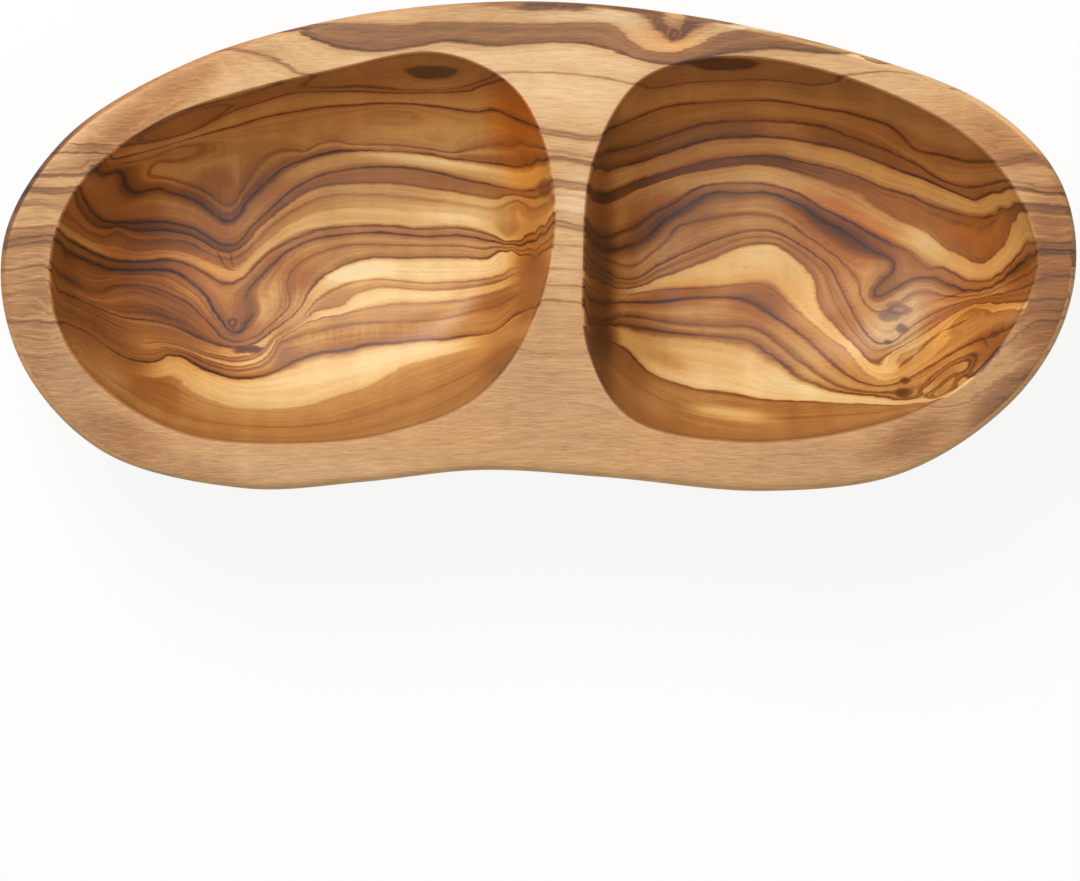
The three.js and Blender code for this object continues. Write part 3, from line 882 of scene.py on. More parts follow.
STAINS_AND_SHADE = {
    # Painted shade on the hollows' walls that face away from the light: the dark patch about 110 235 on the
    # left wall of the left hollow, and the dark band about 600 290 with the caps on paleness about 612 285
    # and 602 340 on the left wall of the right hollow.
    Zone.HOLLOW: read_marks(StainAndShade, View.PLAN, """
    110 235 60 90 0 -.22 .9 | 142 168 26 18 0 .08 .7 | 320 112 190 34 -6 -.03 .7 | 890 150 110 30 20 0 .6
    | 160 250 60 50 20 -.04 .5 | 140 300 110 50 15 0 0 -.42 1.8 | 92 350 64 34 42 0 0 -.44 .6 |
    275 300 32 46 -40 0 0 -.38 1.2 | 430 318 110 12 -8 -.02 .3 | 260 205 70 40 -40 0 .3 |
    205 285 30 40 -20 .12 .3 | 262 298 9 26 20 .2 .3 | 292 296 8 18 25 .12 .2 | 520 110 34 56 -8 -.15 2.6
    | 520 172 26 20 0 .13 .4 | 350 268 36 9 -8 .22 -.5 | 425 153 90 7 8 .27 .2 | 420 206 90 8 6 .14 |
    420 122 110 12 2 .06 .1 | 420 82 60 8 0 .07 .3 | 250 392 50 12 2 -.05 | 700 355 70 16 12 -.13 |
    720 262 60 14 0 0 .3 | 915 205 52 13 28 .1 .9 | 950 380 26 16 -40 0 .4 -.26 |
    532 215 24 64 0 -.02 1.2 -.32 | 535 280 30 34 0 -.04 .6 -.38 | 505 330 50 26 -30 0 .5 -.4 |
    440 385 110 30 -20 -.03 .1 | 250 428 130 16 4 -.02 .3 | 600 290 17 130 0 -.41 .4 |
    720 150 120 20 -8 -.08 .6 | 720 100 130 20 0 .02 .6 | 612 285 30 18 0 0 0 -.38 |
    602 340 20 34 0 0 0 -.5 | 850 320 60 60 40 0 .6 | 955 330 80 42 -40 0 1.1 -.3 1 |
    1000 303 34 9 -12 -.12 .6 | 1026 272 18 14 -30 -.2 .9 | 985 232 34 24 0 .04 1.2 |
    165 232 48 11 12 -.12 .2 0 1.2 | 222 190 17 46 0 .04 .1 0 0 1 | 366 330 70 9 -4 0 0 0 0 .9 |
    906 324 28 34 10 .1 -1.3 -.34 | 905 350 45 60 0 0 0 0 1.4 | 760 425 140 22 0 -.04 .5 |
    735 414 42 7 8 .34 | 672 360 22 8 24 -.14 .7 | 196 336 54 46 20 -.25 .7 | 212 250 36 30 0 -.16 .5 |
    228 196 56 28 -30 -.17 .2 | 306 288 28 26 0 -.13 .1 | 486 290 32 22 0 -.15 .2 |
    144 380 40 18 40 -.15 .4 | 846 216 50 24 30 -.24 1.9 | 838 250 34 18 30 -.07 .7 |
    768 296 34 26 20 -.25 .7 | 682 290 44 14 -10 -.21 1 | 664 208 50 26 -10 -.21 .9 |
    636 346 24 44 0 -.13 .3 | 1006 358 28 26 0 -.28 .5 | 612 128 24 22 0 -.13 .1 |
    198 180 28 14 -30 -.12 .1 | 810 378 32 12 12 .14 -.5 | 504 362 24 18 -40 -.15 |
    792 126 30 14 20 .15 -.3 | 290 266 24 20 0 -.06 .9 | 60 286 16 40 0 -.16 .2 | 886 236 24 18 30 -.08 .8
    | 468 199 40 14 6 .13 -.2 | 938 236 24 12 35 .14 -.5 | 270 342 22 20 0 -.13 |
    290 186 44 18 -14 -.08 .5 | 918 342 18 20 0 .08 -.6
    """),
    Zone.RIM: read_marks(StainAndShade, View.PLAN, """
    165 95 70 22 -36 -.23 .6 | 230 62 40 14 -20 -.05 | 568 250 24 60 0 .08 | 420 60 90 10 -3 .12 |
    560 450 560 50 0 0 .25 | 975 128 60 26 35 -.08 .5 | 570 75 90 46 0 .1 | 600 10 80 12 4 .14 -.5 |
    670 42 34 12 5 .06 .8 | 25 290 34 120 0 -.1 0 0 1.6 | 60 400 60 60 45 -.02 -.3 |
    300 470 180 24 0 .02 -.4 | 800 470 160 22 0 -.03 -.3 | 560 420 70 50 0 -.02 -.3 |
    1055 290 36 110 0 -.28 .7 0 1.2 | 1000 408 36 20 -40 -.34 -.3 | 70 395 50 40 45 -.05 |
    1026 376 26 5 -16 -.26 0 0 1 | 88 147 34 3.4 1 -.16 .1 | 920 425 50 16 -30 -.08 .1 0 1 |
    104 144 40 18 -36 -.17 .2 | 1010 142 34 24 35 -.14 .3 | 125 442 50 26 35 -.14 .1 |
    918 442 52 16 -18 -.14 .1 | 578 198 20 28 0 .12 -.3 | 204 470 44 12 12 -.1
    """),
    # Painted light and shade on the back: the lighter patch about 190 760 over its left and the darker one
    # about 970 760 over its right stand for light from one side, the darker one partly also for browner wood;
    # the dark grey strip about 14 710 is painted shade on the end edge.
    Zone.BELLY: read_marks(StainAndShade, View.BACK, """
    190 760 260 150 0 .09 | 180 742 12 7 30 .24 .5 | 600 710 140 8 2 .03 .6 | 985 697 32 20 0 -.1 .2 |
    872 737 24 10 0 -.1 .5 | 840 765 40 30 0 0 .4 | 970 760 160 170 0 -.2 .4 | 345 732 34 20 -10 .02 1.3 |
    345 706 16 8 0 -.16 .3 | 376 712 20 8 -30 -.24 .9 | 412 800 30 22 40 -.14 .3 -.3 1 |
    425 755 34 7 0 .08 .2 | 560 740 170 24 2 .04 -.1 | 1020 699 32 24 60 -.46 .2 | 770 755 34 46 -20 -.1 |
    930 740 90 70 10 -.05 .2 -.2 | 1045 745 34 70 25 -.14 .3 | 920 858 90 16 -14 -.08 |
    70 710 60 40 30 .05 .4 | 75 755 40 12 30 -.14 .1 | 130 803 40 10 32 -.2 .1 | 14 710 26 50 -30 -.24 -.1
    | 190 862 60 9 5 -.05 -.2 | 560 826 110 22 3 -.1 .3 -.4 1.6 | 662 832 50 18 0 -.06 -.1 -.4 1 |
    742 823 40 16 -8 -.06 -.8 -.55 1 | 465 803 12 12 0 -.14 -.2 | 410 829 26 5 28 .22 -.8 |
    376 822 16 10 40 -.1 -.8 | 600 853 120 5 -2 0 -.6 | 150 726 9 12 0 -.2 -.3 | 850 806 26 5 10 .2 -.5 |
    880 750 40 30 30 0 .5 | 912 750 22 13 20 -.21 .3 | 970 772 20 14 0 -.09 | 903 778 15 28 10 -.06 -.2 |
    846 766 30 18 0 -.1 .2 | 754 786 14 17 0 -.2 | 744 752 12 18 -30 -.17 | 686 806 42 12 4 -.22 |
    768 834 30 10 -14 -.22 -.5 | 888 766 18 12 0 -.1 .1 | 976 730 44 13 -22 -.22 |
    1054 682 22 18 0 -.38 -.1 | 372 811 22 12 20 -.22 | 576 692 26 7 2 -.22 | 228 704 22 10 10 .22 |
    558 692 30 6 2 -.12 | 350 690 120 10 -2 .24 -.3 | 632 798 24 9 8 -.13 | 276 859 34 9 8 .14
    """),
}


# Stains, painted light and painted shade of the back fade out between these places, in millimetres, over the
# ends of the dish.
BACK_FADE = (-26.0, 6.0)


def stain_and_shade_weights(places: Array, tone_patch: StainAndShade, unit: float) -> Array:
    """Strength of a stain at places on the dish.

    Args:
        places: points in millimetres.
        tone_patch: the patch.
        unit: millimetres for each unit of the drawings.

    Returns:
        Weight from 0 to 1 for each place.
    """
    if tone_patch.view is View.BACK:
        across = BACK_VIEW_END - PLAN_MIDDLE[0] - places[:, 0] / unit
        down = BACK_VIEW_FOOT + BACK_VIEW_TILT * places[:, 1] / unit - places[:, 2] / unit
        shown = smoothstep(places[:, 1], *BACK_FADE)
    else:
        across = places[:, 0] / unit + PLAN_MIDDLE[0]
        down = PLAN_MIDDLE[1] - places[:, 1] / unit
        shown = np.ones(len(places))
    angle = math.radians(tone_patch.turn)
    dx, dy = across - tone_patch.middle[0], down - tone_patch.middle[1]
    u = (dx * math.cos(angle) + dy * math.sin(angle)) / tone_patch.radii[0]
    v = (-dx * math.sin(angle) + dy * math.cos(angle)) / tone_patch.radii[1]
    return shown * np.exp(-((u * u + v * v) ** 1.5))


def read_profile(text: str) -> Profile:
    """Read a profile from words of the form "level:value"."""
    pairs = (word.split(":") for word in text.split())
    return tuple((float(level), float(value)) for level, value in pairs)


# Tone of each ring level, from 0 for the darkest wood to 1 for the palest.
RIM_TONES = read_profile("""
    -30:.55 -12:.5 -7:.22 3:.22 8:.6 14:.72 21:.68 24:.45 30:.36 36:.44 41:.34 45.5:.28 47.5:.66 52:.74
    58:.76 70:.74 72:.62 74:.76 84:.8 127:.72 129.5:.54 133:.52 136:.74 147:.7 150:.58 153:.66 156:.48
    159:.48 162:.72 178:.7 181:.48 187:.46 190:.72 194:.62 197:.74 207:.72 210:.6 213:.62 218:.58 220:.44
    222.5:.5 225:.42 229:.68 243:.66 245.5:.56 248:.68 266:.68 269:.58 271.5:.68 283:.66 285.5:.56 288:.66
    298:.64 300.5:.54 304:.64 345:.67 350:.62 358:.66 480:.68
""")

LEFT_TONES = read_profile("""
    30:.1 47:.14 50:.5 62:.52 70:.48 72:.36 74:.5 77:.44 78.5:.36 80.5:.56 95:.64 120:.68 127:.56 129.5:.4
    131.5:.54 136:.64 144:.62 148:.5 150:.62 153:.48 156:.4 158:.32 160:.42 164:.66 176:.68 180:.52
    182:.36 184:.5 187:.46 188.5:.42 190.5:.66 194:.66 196:.54 201:.64 203:.6 204.5:.78 209:.8 211:.56
    212.5:.42 215:.56 219:.5 221:.34 222:.26 224:.5 230:.62 234:.58 236:.5 238:.6 243:.6 246:.5 247.3:.42
    249:.75 252:.92 264:.92 266.5:.82 268.5:.66 270.5:.72 274:.64 276:.62 278:.9 283:.9 285:.64 288:.66
    292:.56 294:.66 299:.56 302.5:.42 305:.78 308:.94 315:.92 319:.84 321:.66 327:.62 335:.62 350:.56
    365:.6 380:.55 400:.56 440:.5
""")

RIGHT_TONES = read_profile("""
    30:.1 47:.14 50:.5 62:.5 70:.46 72:.36 74:.52 80:.52 100:.56 122:.58 127:.48 129.5:.38 132:.5 142:.55
    146:.44 148:.36 151:.44 155:.38 158:.3 160.5:.6 166:.68 176:.66 180:.5 182:.36 184.5:.42 187:.38
    189:.38 191:.66 200:.72 207:.7 210:.54 212:.42 214.5:.5 217:.5 220:.4 222:.28 224:.34 226:.48 228:.58
    230:.6 232:.46 234.5:.6 242:.58 245.5:.48 247.3:.42 250:.56 257:.5 262:.56 266:.46 267.5:.54 269.5:.82
    275:.86 277:.66 281:.64 283.5:.56 285.5:.42 288:.62 294:.64 297:.5 298.5:.44 300:.6 302.5:.4 305:.78
    308:.92 317:.92 319.5:.82 321:.48 324:.56 345:.56 365:.6 400:.5 440:.5
""")

OUTER_TONES = read_profile("""
    -95:.5 -80:.54 -73:.5 -71:.4 -69:.36 -67:.46 -62:.46 -60:.38 -58:.6 -54:.72 -44:.76 -30:.74 -28:.57
    -25:.52 -22:.54 -20.5:.74 -12:.78 -9.6:.74 -8.6:.52 -4.5:.52 -3.5:.34 -1:.3 3:.34 5.5:.34 7:.5 8.5:.72
    12.6:.74 14:.6 15.4:.74 22:.74 24:.46 30:.4 32:.32 33.5:.5 41:.54 43:.4 46:.28 47.5:.42 49:.72 60:.74
    70:.72 72:.56 74:.74 100:.72 126:.7 129:.5 132:.5 134:.7 147:.68 149.5:.5 151.5:.58 155.5:.58
    157.5:.44 159.5:.68 179:.66 182:.42 187:.44 190:.66 202:.62 205:.42 209:.44 213:.62 220:.6 223:.46
    227:.64 244:.66 247:.54 250:.68 268:.66 271:.54 274:.66 296:.66 300:.56 304:.68 312:.66 315:.58
    318:.66 335:.64 339:.52 342:.56 352:.58 355:.7 372:.7 376:.57 379:.6 382:.72 398:.7 401:.62 404:.68
    416:.66 421:.54 424:.6 434:.62 437:.72 452:.7 455:.62 458:.7 480:.7
""")

# Thin dark line that some rings end in: level of the ring and how much darker the line is.
RIM_EDGES = read_profile("""
    3:.08 24:.1 45.5:.16 72:.18 129.5:.1 133.5:.12 150:.06 156:.12 159:.08 181.5:.09 188:.08 194:.04
    210:.1 220:.16 225:.06 245.5:.12 269:.08 285.5:.08 300.5:.12 320:.06 350:.06
""")

LEFT_EDGES = read_profile("""
    72:.14 78.5:.2 129.5:.26 148:.12 158:.26 182:.24 188.5:.14 196:.08 212.5:.2 222:.26 236:.16 247.3:.22
    268.5:.14 276:.1 285:.1 292:.12 302.5:.26 320:.08 350:.06 380:.06
""")

RIGHT_EDGES = read_profile("""
    72:.14 129.5:.26 148:.22 158:.26 182:.22 184.5:.12 186.5:.12 189:.12 212:.2 222:.2 232:.14 247.3:.2
    257:.1 267:.14 277:.12 285.5:.18 298.5:.14 302.5:.22 321:.16 345:.08
""")

OUTER_EDGES = read_profile("""
    -70:.12 -60:.14 -26:.1 -21.5:.1 -8.8:.12 -3.5:.14 5.8:.12 14:.16 24:.1 32:.1 46:.1 72:.15 129:.16
    132:.12 149.5:.16 157.5:.2 182:.18 187:.12 205:.18 209:.1 223:.18 247:.14 271:.14 300:.14 315:.08
    339:.14 353:.08 376:.12 401:.08 421:.12 436:.08 455:.08
""")


# Material


@dataclass(frozen=True)
class Noise:
    """Noise that is stretched along the dish's axes, with its scale for each metre."""

    scale: tuple[float, float, float]
    detail: float
    roughness: float


@dataclass
class Sketch:
    """Short hand for laying out nodes in one tree."""

    tree: Tree

    def node(self, kind: str, **settings: object) -> Node:
        """Add a node and set its plain properties.

        Args:
            kind: Blender's name for the node.
            settings: properties to set on it.

        Returns:
            The node.
        """
        made = self.tree.nodes.new(kind)
        for name, value in settings.items():
            setattr(made, name, value)
        return made

    def find(self, kind: str) -> Node:
        """Find the node of a kind that the tree came with."""
        return next(node for node in self.tree.nodes if node.type == kind)

    def feed(self, socket: Socket, value: object) -> None:
        """Link a socket to an input, or set its value.

        Args:
            socket: the input.
            value: a socket to link, or a plain value.
        """
        if isinstance(value, bpy.types.NodeSocket):
            self.tree.links.new(value, socket)
        else:
            socket.default_value = value

    def fill(self, node: Node, *values: object, **named: object) -> Node:
        """Link or set a node's inputs.

        Args:
            node: the node.
            values: its first inputs in order.
            named: further inputs by name, with _ for a blank.

        Returns:
            The node.
        """
        for socket, value in zip(node.inputs, values):
            self.feed(socket, value)
        for name, value in named.items():
            self.feed(node.inputs[name.replace("_", " ")], value)
        return node

    def math(self, operation: str, *values: object, clamp: bool = False) -> Socket:
        """Add a Math node with its inputs in order, held between 0 and 1 if clamped."""
        made = self.node("ShaderNodeMath", operation=operation, use_clamp=clamp)
        return self.fill(made, *values).outputs[0]

    def plus(self, value: object, *terms: tuple[object, object]) -> Socket:
        """Add weighted terms to a value.

        Args:
            value: the value.
            terms: pairs of a term and its weight.

        Returns:
            The sum.
        """
        for term, weight in terms:
            value = self.math("MULTIPLY_ADD", term, weight, value)
        return value

    def vector_math(self, operation: str, *values: object, **named: object) -> Socket:
        """Add a Vector Math node and give its vector, or its value for a length or a dot product."""
        made = self.fill(self.node("ShaderNodeVectorMath", operation=operation), *values, **named)
        return made.outputs["Value" if operation in ("LENGTH", "DOT_PRODUCT") else "Vector"]

    def blend(self, share: object, first: object, second: object, kind: str = "FLOAT") -> Socket:
        """Add a Mix node.

        Args:
            share: how much of the second.
            first: first value.
            second: second value.
            kind: FLOAT or RGBA.

        Returns:
            The mixed value.
        """
        made = self.node("ShaderNodeMix", data_type=kind)
        suffix = {"FLOAT": "_Float", "RGBA": "_Color"}[kind]
        inputs = {socket.identifier: socket for socket in made.inputs}
        self.feed(inputs["Factor_Float"], share)
        self.feed(inputs["A" + suffix], first)
        self.feed(inputs["B" + suffix], second)
        return next(s for s in made.outputs if s.identifier == "Result" + suffix)

    def rise(self, value: object, low: float, high: float, smooth: bool = True) -> Socket:
        """Map a value to 0 at low and 1 at high, whichever of them is the greater, eased if smooth."""
        made = self.node("ShaderNodeMapRange", interpolation_type="SMOOTHSTEP" if smooth else "LINEAR")
        return self.fill(made, Value=value, From_Min=low, From_Max=high).outputs[0]

    def noise(self, place: object, detail: float, roughness: float, scale: float = 1.0) -> Socket:
        """Add a noise texture, as a value about 0.5."""
        made = self.node("ShaderNodeTexNoise")
        return self.fill(made, Vector=place, Scale=scale, Detail=detail, Roughness=roughness).outputs[0]

    def grain(self, place: object, noise: Noise) -> Socket:
        """Add a noise that is stretched on the dish's own axes, as a value about 0.5."""
        return self.noise(self.vector_math("MULTIPLY", place, noise.scale), noise.detail, noise.roughness)

    def swing(self, noise: Socket, reach: float = 1.0) -> Socket:
        """Turn a noise into a value that swings about 0, as far as its reach."""
        return self.math("MULTIPLY_ADD", noise, 2 * reach, -reach)

    def ramp(self, share: object, stops: Iterable[tuple[float, tuple[float, ...]]]) -> Socket:
        """Add a colour ramp.

        Args:
            share: place along the ramp.
            stops: place and colour of each stop.

        Returns:
            Its colour.
        """
        made = self.fill(self.node("ShaderNodeValToRGB"), share)
        elements = made.color_ramp.elements
        stops = list(stops)
        while len(elements) < len(stops):
            elements.new(1.0)
        for element, (place, colour) in zip(elements, stops):
            element.position = place
            element.color = colour
        return made.outputs[0]

    def combine(self, *values: object) -> Socket:
        """Join three values to a vector."""
        return self.fill(self.node("ShaderNodeCombineXYZ"), *values).outputs[0]

    def split(self, vector: object) -> Sequence[Socket]:
        """Part a vector into its three values."""
        return self.fill(self.node("ShaderNodeSeparateXYZ"), vector).outputs[:]

    def use(self, group: Tree, **values: object) -> Sockets:
        """Place a node group with its inputs by name, and give its outputs by name."""
        made = self.fill(self.node("ShaderNodeGroup", node_tree=group), **values)
        return {socket.name: socket for socket in made.outputs}


@dataclass
class GroupSketch(Sketch):
    """Node group under construction, with its named sockets."""

    def __init__(self, name: str, inputs: str, outputs: str, kind: str = "ShaderNodeTree") -> None:
        """Start a group.

        Args:
            name: name of the group.
            inputs: names of its inputs with blanks between them and _ for a blank in a name,
                each followed by a colon and its kind unless it is a Float.
            outputs: its outputs, written likewise.
            kind: Blender's name for its kind of tree.
        """
        super().__init__(bpy.data.node_groups.new(name, kind))
        for direction, sockets in (("INPUT", inputs), ("OUTPUT", outputs)):
            for word in sockets.split():
                label, _, socket = word.partition(":")
                self.tree.interface.new_socket(
                    label.replace("_", " "), in_out=direction, socket_type="NodeSocket" + (socket or "Float"))
        self.given = self.node("NodeGroupInput").outputs
        self.result = self.node("NodeGroupOutput").inputs


@dataclass(frozen=True)
class RingTones:
    """Group that turns a ring level into the tone of that ring."""

    name: str
    tones: Profile
    stops_each: int = 28

    def group(self) -> Tree:
        """Build the group.

        Returns:
            The group.
        """
        sketch = GroupSketch(self.name, "Level", "Tone")
        level = sketch.given["Level"]
        result: object = self.tones[0][1]
        for start in range(0, len(self.tones) - 1, self.stops_each):
            part = self.tones[start:start + self.stops_each + 1]
            low, high = part[0][0], part[-1][0]
            share = sketch.rise(level, low, high, smooth=False)
            stops = (((at - low) / (high - low), (tone, tone, tone, 1.0)) for at, tone in part)
            tone = sketch.ramp(share, stops)
            result = sketch.blend(sketch.math("GREATER_THAN", level, low), result, tone)
        sketch.feed(sketch.result["Tone"], result)
        return sketch.tree


def edge_gaps(edges: Profile, unit: float) -> Profile:
    """Draw the distance to the nearest ring edge as a profile over the levels.

    Args:
        edges: level and depth of each edge.
        unit: distance that the profile shows as 1.

    Returns:
        The profile.
    """
    levels = [level for level, _ in edges]
    found = [(levels[0] - unit, 1.0)]
    for level, after in zip(levels, levels[1:]):
        found += [(level, 0.0), ((level + after) / 2, min(1.0, (after - level) / 2 / unit))]
    return (*found, (levels[-1], 0.0), (levels[-1] + unit, 1.0))


@dataclass(frozen=True)
class KnotMark:
    """Small knot: where it lies on a drawing, its radii in millimetres and its strength.

    heart is how much paler its middle is.
    """

    middle: tuple[float, float]
    radii: tuple[float, float]
    strength: float
    heart: float = 0.0
    view: View = View.PLAN


KNOTS = read_marks(KnotMark, View.PLAN, """
    225 320 1.1 1.5 .9 .26 | 240 347 3.0 .8 .9 | 674 33 1.1 1.4 .8 .2 | 899 312 2.2 1.2 .6 |
    906 306 2.6 1.4 .6 .3 | 910 326 1.1 .9 .7 | 896 340 .9 .5 .8 | 911 380 .9 .7 .7 | 908 392 1.8 .9 .7 |
    545 187 2.4 1.8 .5 .1
""") + read_marks(KnotMark, View.BACK, """
    130 738 2.3 2.3 1.0 .36 | 873 801 2.6 1.7 .9 .3
""")


@dataclass(frozen=True)
class CheckMark:
    """Fine drying check, or a short dark stroke of grain where its depth is small.

    It has two ends on a drawing and a width in millimetres.
    """

    start: tuple[float, float]
    end: tuple[float, float]
    width: float
    depth: float
    view: View = View.PLAN


CHECKS = read_marks(CheckMark, View.BACK, """
    918 742 962 724 .5 .6 | 955 728 1016 705 .34 .6 | 862 765 966 748 .4 .6 | 828 763 900 756 .3 .5 |
    559 715 565 735 .22 .45 | 136 738 162 735 1.3 .75 | 155 735 215 768 .5 .4
""") + read_marks(CheckMark, View.PLAN, """
    905 368 922 352 .42 .36 | 920 354 950 328 .42 .36 | 947 330 978 316 .42 .34 | 940 299 975 288 .35 .25 |
    985 335 992 348 .5 .3 | 66 143 118 145 .45 .36 | 208 246 217 262 .4 .4 | 223 248 226 264 .35 .4 |
    213 262 228 266 .35 .35
""")


@dataclass(frozen=True)
class OliveWood:
    """Oiled olive wood with strong figure.

    Colours are as a screen shows them, from the darkest tone to the palest: dry for the rim
    and the outside, oiled for the hollows. Pairs of depths are for those two in the same
    order. Widths are in millimetres, and scales are for each metre.
    """

    dry: Colours = (
        (0.0, 54, 32, 20), (0.25, 103, 64, 34), (0.5, 154, 105, 62), (0.75, 204, 159, 108),
        (1.0, 232, 199, 152),
    )
    oiled: Colours = (
        (0.0, 46, 24, 12), (0.25, 100, 57, 25), (0.5, 158, 101, 49), (0.75, 211, 162, 95),
        (1.0, 241, 210, 152),
    )
    warm_tint: tuple[float, float, float] = (0.10, -0.07, -0.32)
    wander: float = 0.55
    feathers: tuple[float, float] = (2.4, 0.5)
    frayed: float = 0.45
    front_calm: float = 0.8
    front_fade: float = 0.02
    waves: Noise = Noise((60, 150, 150), 4.0, 0.58)
    teeth: Noise = Noise((70, 1300, 1300), 3.0, 0.62)
    frays: Noise = Noise((420, 1200, 1200), 3.0, 0.6)
    streaks: Noise = Noise((38.0, 0.5, 14.0), 4.0, 0.62)
    fibres: Noise = Noise((210, 2500, 2500), 3.0, 0.66)
    pores: Noise = Noise((420, 4200, 4200), 1.0, 0.5)
    shimmer: Noise = Noise((170, 22, 22), 2.0, 0.5)
    mottle: Noise = Noise((60, 150, 150), 4.0, 0.6)
    curls: Noise = Noise((900, 60, 60), 2.0, 0.6)
    pore_range: tuple[float, float] = (0.66, 0.78)
    streak_depth: float = 0.13
    mottle_depths: tuple[float, float] = (0.07, 0.05)
    curl_depth: float = 0.14
    fibre_depths: tuple[float, float] = (0.19, 0.05)
    pore_depth: float = 0.12
    shimmer_depth: float = 0.03
    shimmer_inside: float = 0.05
    palest_blur: float = 0.08
    edge_unit: float = 20.0
    edge_width: float = 0.38
    edge_uneven: float = 1.1
    thinnest_edge: float = 0.12
    edge_slope: float = 0.3
    edge_depth: float = 0.74
    edge_depth_uneven: float = 1.2
    knot_depth: float = 6.0
    knot_greys: Profile = ((0.0, 0.1), (0.4, 0.14), (0.6, 0.24), (0.8, 0.42), (1.0, 0.55))
    knot_reach: float = 1.6
    knot_rough: float = 0.7
    knot_rough_scale: float = 500.0
    check_bend: float = 0.0014
    check_bend_scale: float = 260.0
    streak_warmth: float = 0.15
    mottle_warmth: float = 0.3
    oil_outside: float = 0.55
    roughness: tuple[float, float] = (0.52, 0.4)
    fibre_roughness: float = 0.05
    pore_roughness: float = 0.12
    specular: float = 0.42
    fibre_height: float = 0.35
    check_height: float = 3.0
    bump_strength: float = 0.35
    bump_distance: float = 0.00006

    def wander_group(self) -> Tree:
        """Build the group that lets the rings waver, and feathers them along the grain.

        Returns:
            The group.
        """
        sketch = GroupSketch("ring_wander", "Position:Vector Level Across Along Frayed", "Level")
        swings = (("Across", self.waves, 1.0), ("Along", self.teeth, 1.0),
                  ("Frayed", self.frays, self.frayed))
        shifted = sketch.plus(sketch.given["Level"], *(
            (sketch.swing(sketch.grain(sketch.given["Position"], noise), reach), sketch.given[name])
            for name, noise, reach in swings))
        sketch.feed(sketch.result["Level"], shifted)
        return sketch.tree

    def fibre_group(self) -> Tree:
        """Build the group for fibres, ring streaks, pores and cross-grain shimmer.

        Returns:
            The group. Its pores go from 0 to 1, and the rest lies about 0.
        """
        sketch = GroupSketch("wood_fibre", "Position:Vector Level", "Streak Fibre Pores Shimmer Mottle Curl")
        place, level = sketch.given["Position"], sketch.given["Level"]
        x, y, z = sketch.split(place)
        parts = (x, level, sketch.math("ADD", y, z))
        ringwise = sketch.combine(*(
            sketch.math("MULTIPLY", part, scale) for part, scale in zip(parts, self.streaks.scale)))
        streak = sketch.noise(ringwise, self.streaks.detail, self.streaks.roughness)
        sketch.feed(sketch.result["Streak"], sketch.swing(streak))
        for name, noise in (("Fibre", self.fibres), ("Shimmer", self.shimmer), ("Mottle", self.mottle),
                            ("Curl", self.curls)):
            sketch.feed(sketch.result[name], sketch.swing(sketch.grain(place, noise)))
        sketch.feed(sketch.result["Pores"], sketch.rise(sketch.grain(place, self.pores), *self.pore_range))
        return sketch.tree

    def knot_group(self) -> Tree:
        """Build the group that sets a knot into a tone.

        Returns:
            The group.
        """
        sketch = GroupSketch(
            "small_knot", "Tone Position:Vector Middle:Vector Radii:Vector Strength Rough Heart", "Tone")
        given = sketch.given
        apart = sketch.vector_math("SUBTRACT", given["Position"], given["Middle"])
        scaled = sketch.vector_math("DIVIDE", apart, given["Radii"])
        reach = sketch.math("ADD", sketch.vector_math("LENGTH", scaled), given["Rough"])
        greys = ((at, (grey, grey, grey, 1.0)) for at, grey in self.knot_greys)
        inner = sketch.ramp(sketch.math("DIVIDE", reach, self.knot_reach), greys)
        heart = sketch.math("MULTIPLY", sketch.rise(reach, 0.55, 0.35), given["Heart"])
        inner = sketch.math("ADD", inner, heart)
        share = sketch.math("MULTIPLY", sketch.rise(reach, 1.7, 1.05), given["Strength"])
        sketch.feed(sketch.result["Tone"], sketch.blend(share, given["Tone"], inner))
        return sketch.tree

    def check_group(self) -> Tree:
        """Build the group that draws a fine drying check.

        Returns:
            The group.
        """
        sketch = GroupSketch(
            "drying_check", "Position:Vector Start:Vector Run:Vector Squared_Length Width", "Mask")
        given = sketch.given
        apart = sketch.vector_math("SUBTRACT", given["Position"], given["Start"])
        dot = sketch.vector_math("DOT_PRODUCT", apart, given["Run"])
        share = sketch.math("DIVIDE", dot, given["Squared Length"], clamp=True)
        nearest = sketch.vector_math("SCALE", given["Run"], Scale=share)
        away = sketch.vector_math("LENGTH", sketch.vector_math("SUBTRACT", apart, nearest))
        ends = sketch.math("SINE", sketch.math("MULTIPLY", share, math.pi))
        width = sketch.math("MULTIPLY", given["Width"], sketch.math("ADD", ends, 0.1))
        sketch.feed(sketch.result["Mask"], sketch.rise(sketch.math("DIVIDE", away, width), 1.0, 0.3))
        return sketch.tree

    def colour_group(self) -> Tree:
        """Build the group that colours a tone.

        Returns:
            The group.
        """
        sketch = GroupSketch("wood_colour", "Tone Oil Warmth", "Color:Color")
        dry, oiled = (
            sketch.ramp(sketch.given["Tone"], ((at, to_linear(r, g, b)) for at, r, g, b in colours))
            for colours in (self.dry, self.oiled))
        plain = sketch.blend(sketch.given["Oil"], dry, oiled, "RGBA")
        tint = sketch.combine(*(
            sketch.math("MULTIPLY_ADD", sketch.given["Warmth"], amount, 1.0) for amount in self.warm_tint))
        sketch.feed(sketch.result["Color"], sketch.vector_math("MULTIPLY", plain, tint))
        return sketch.tree

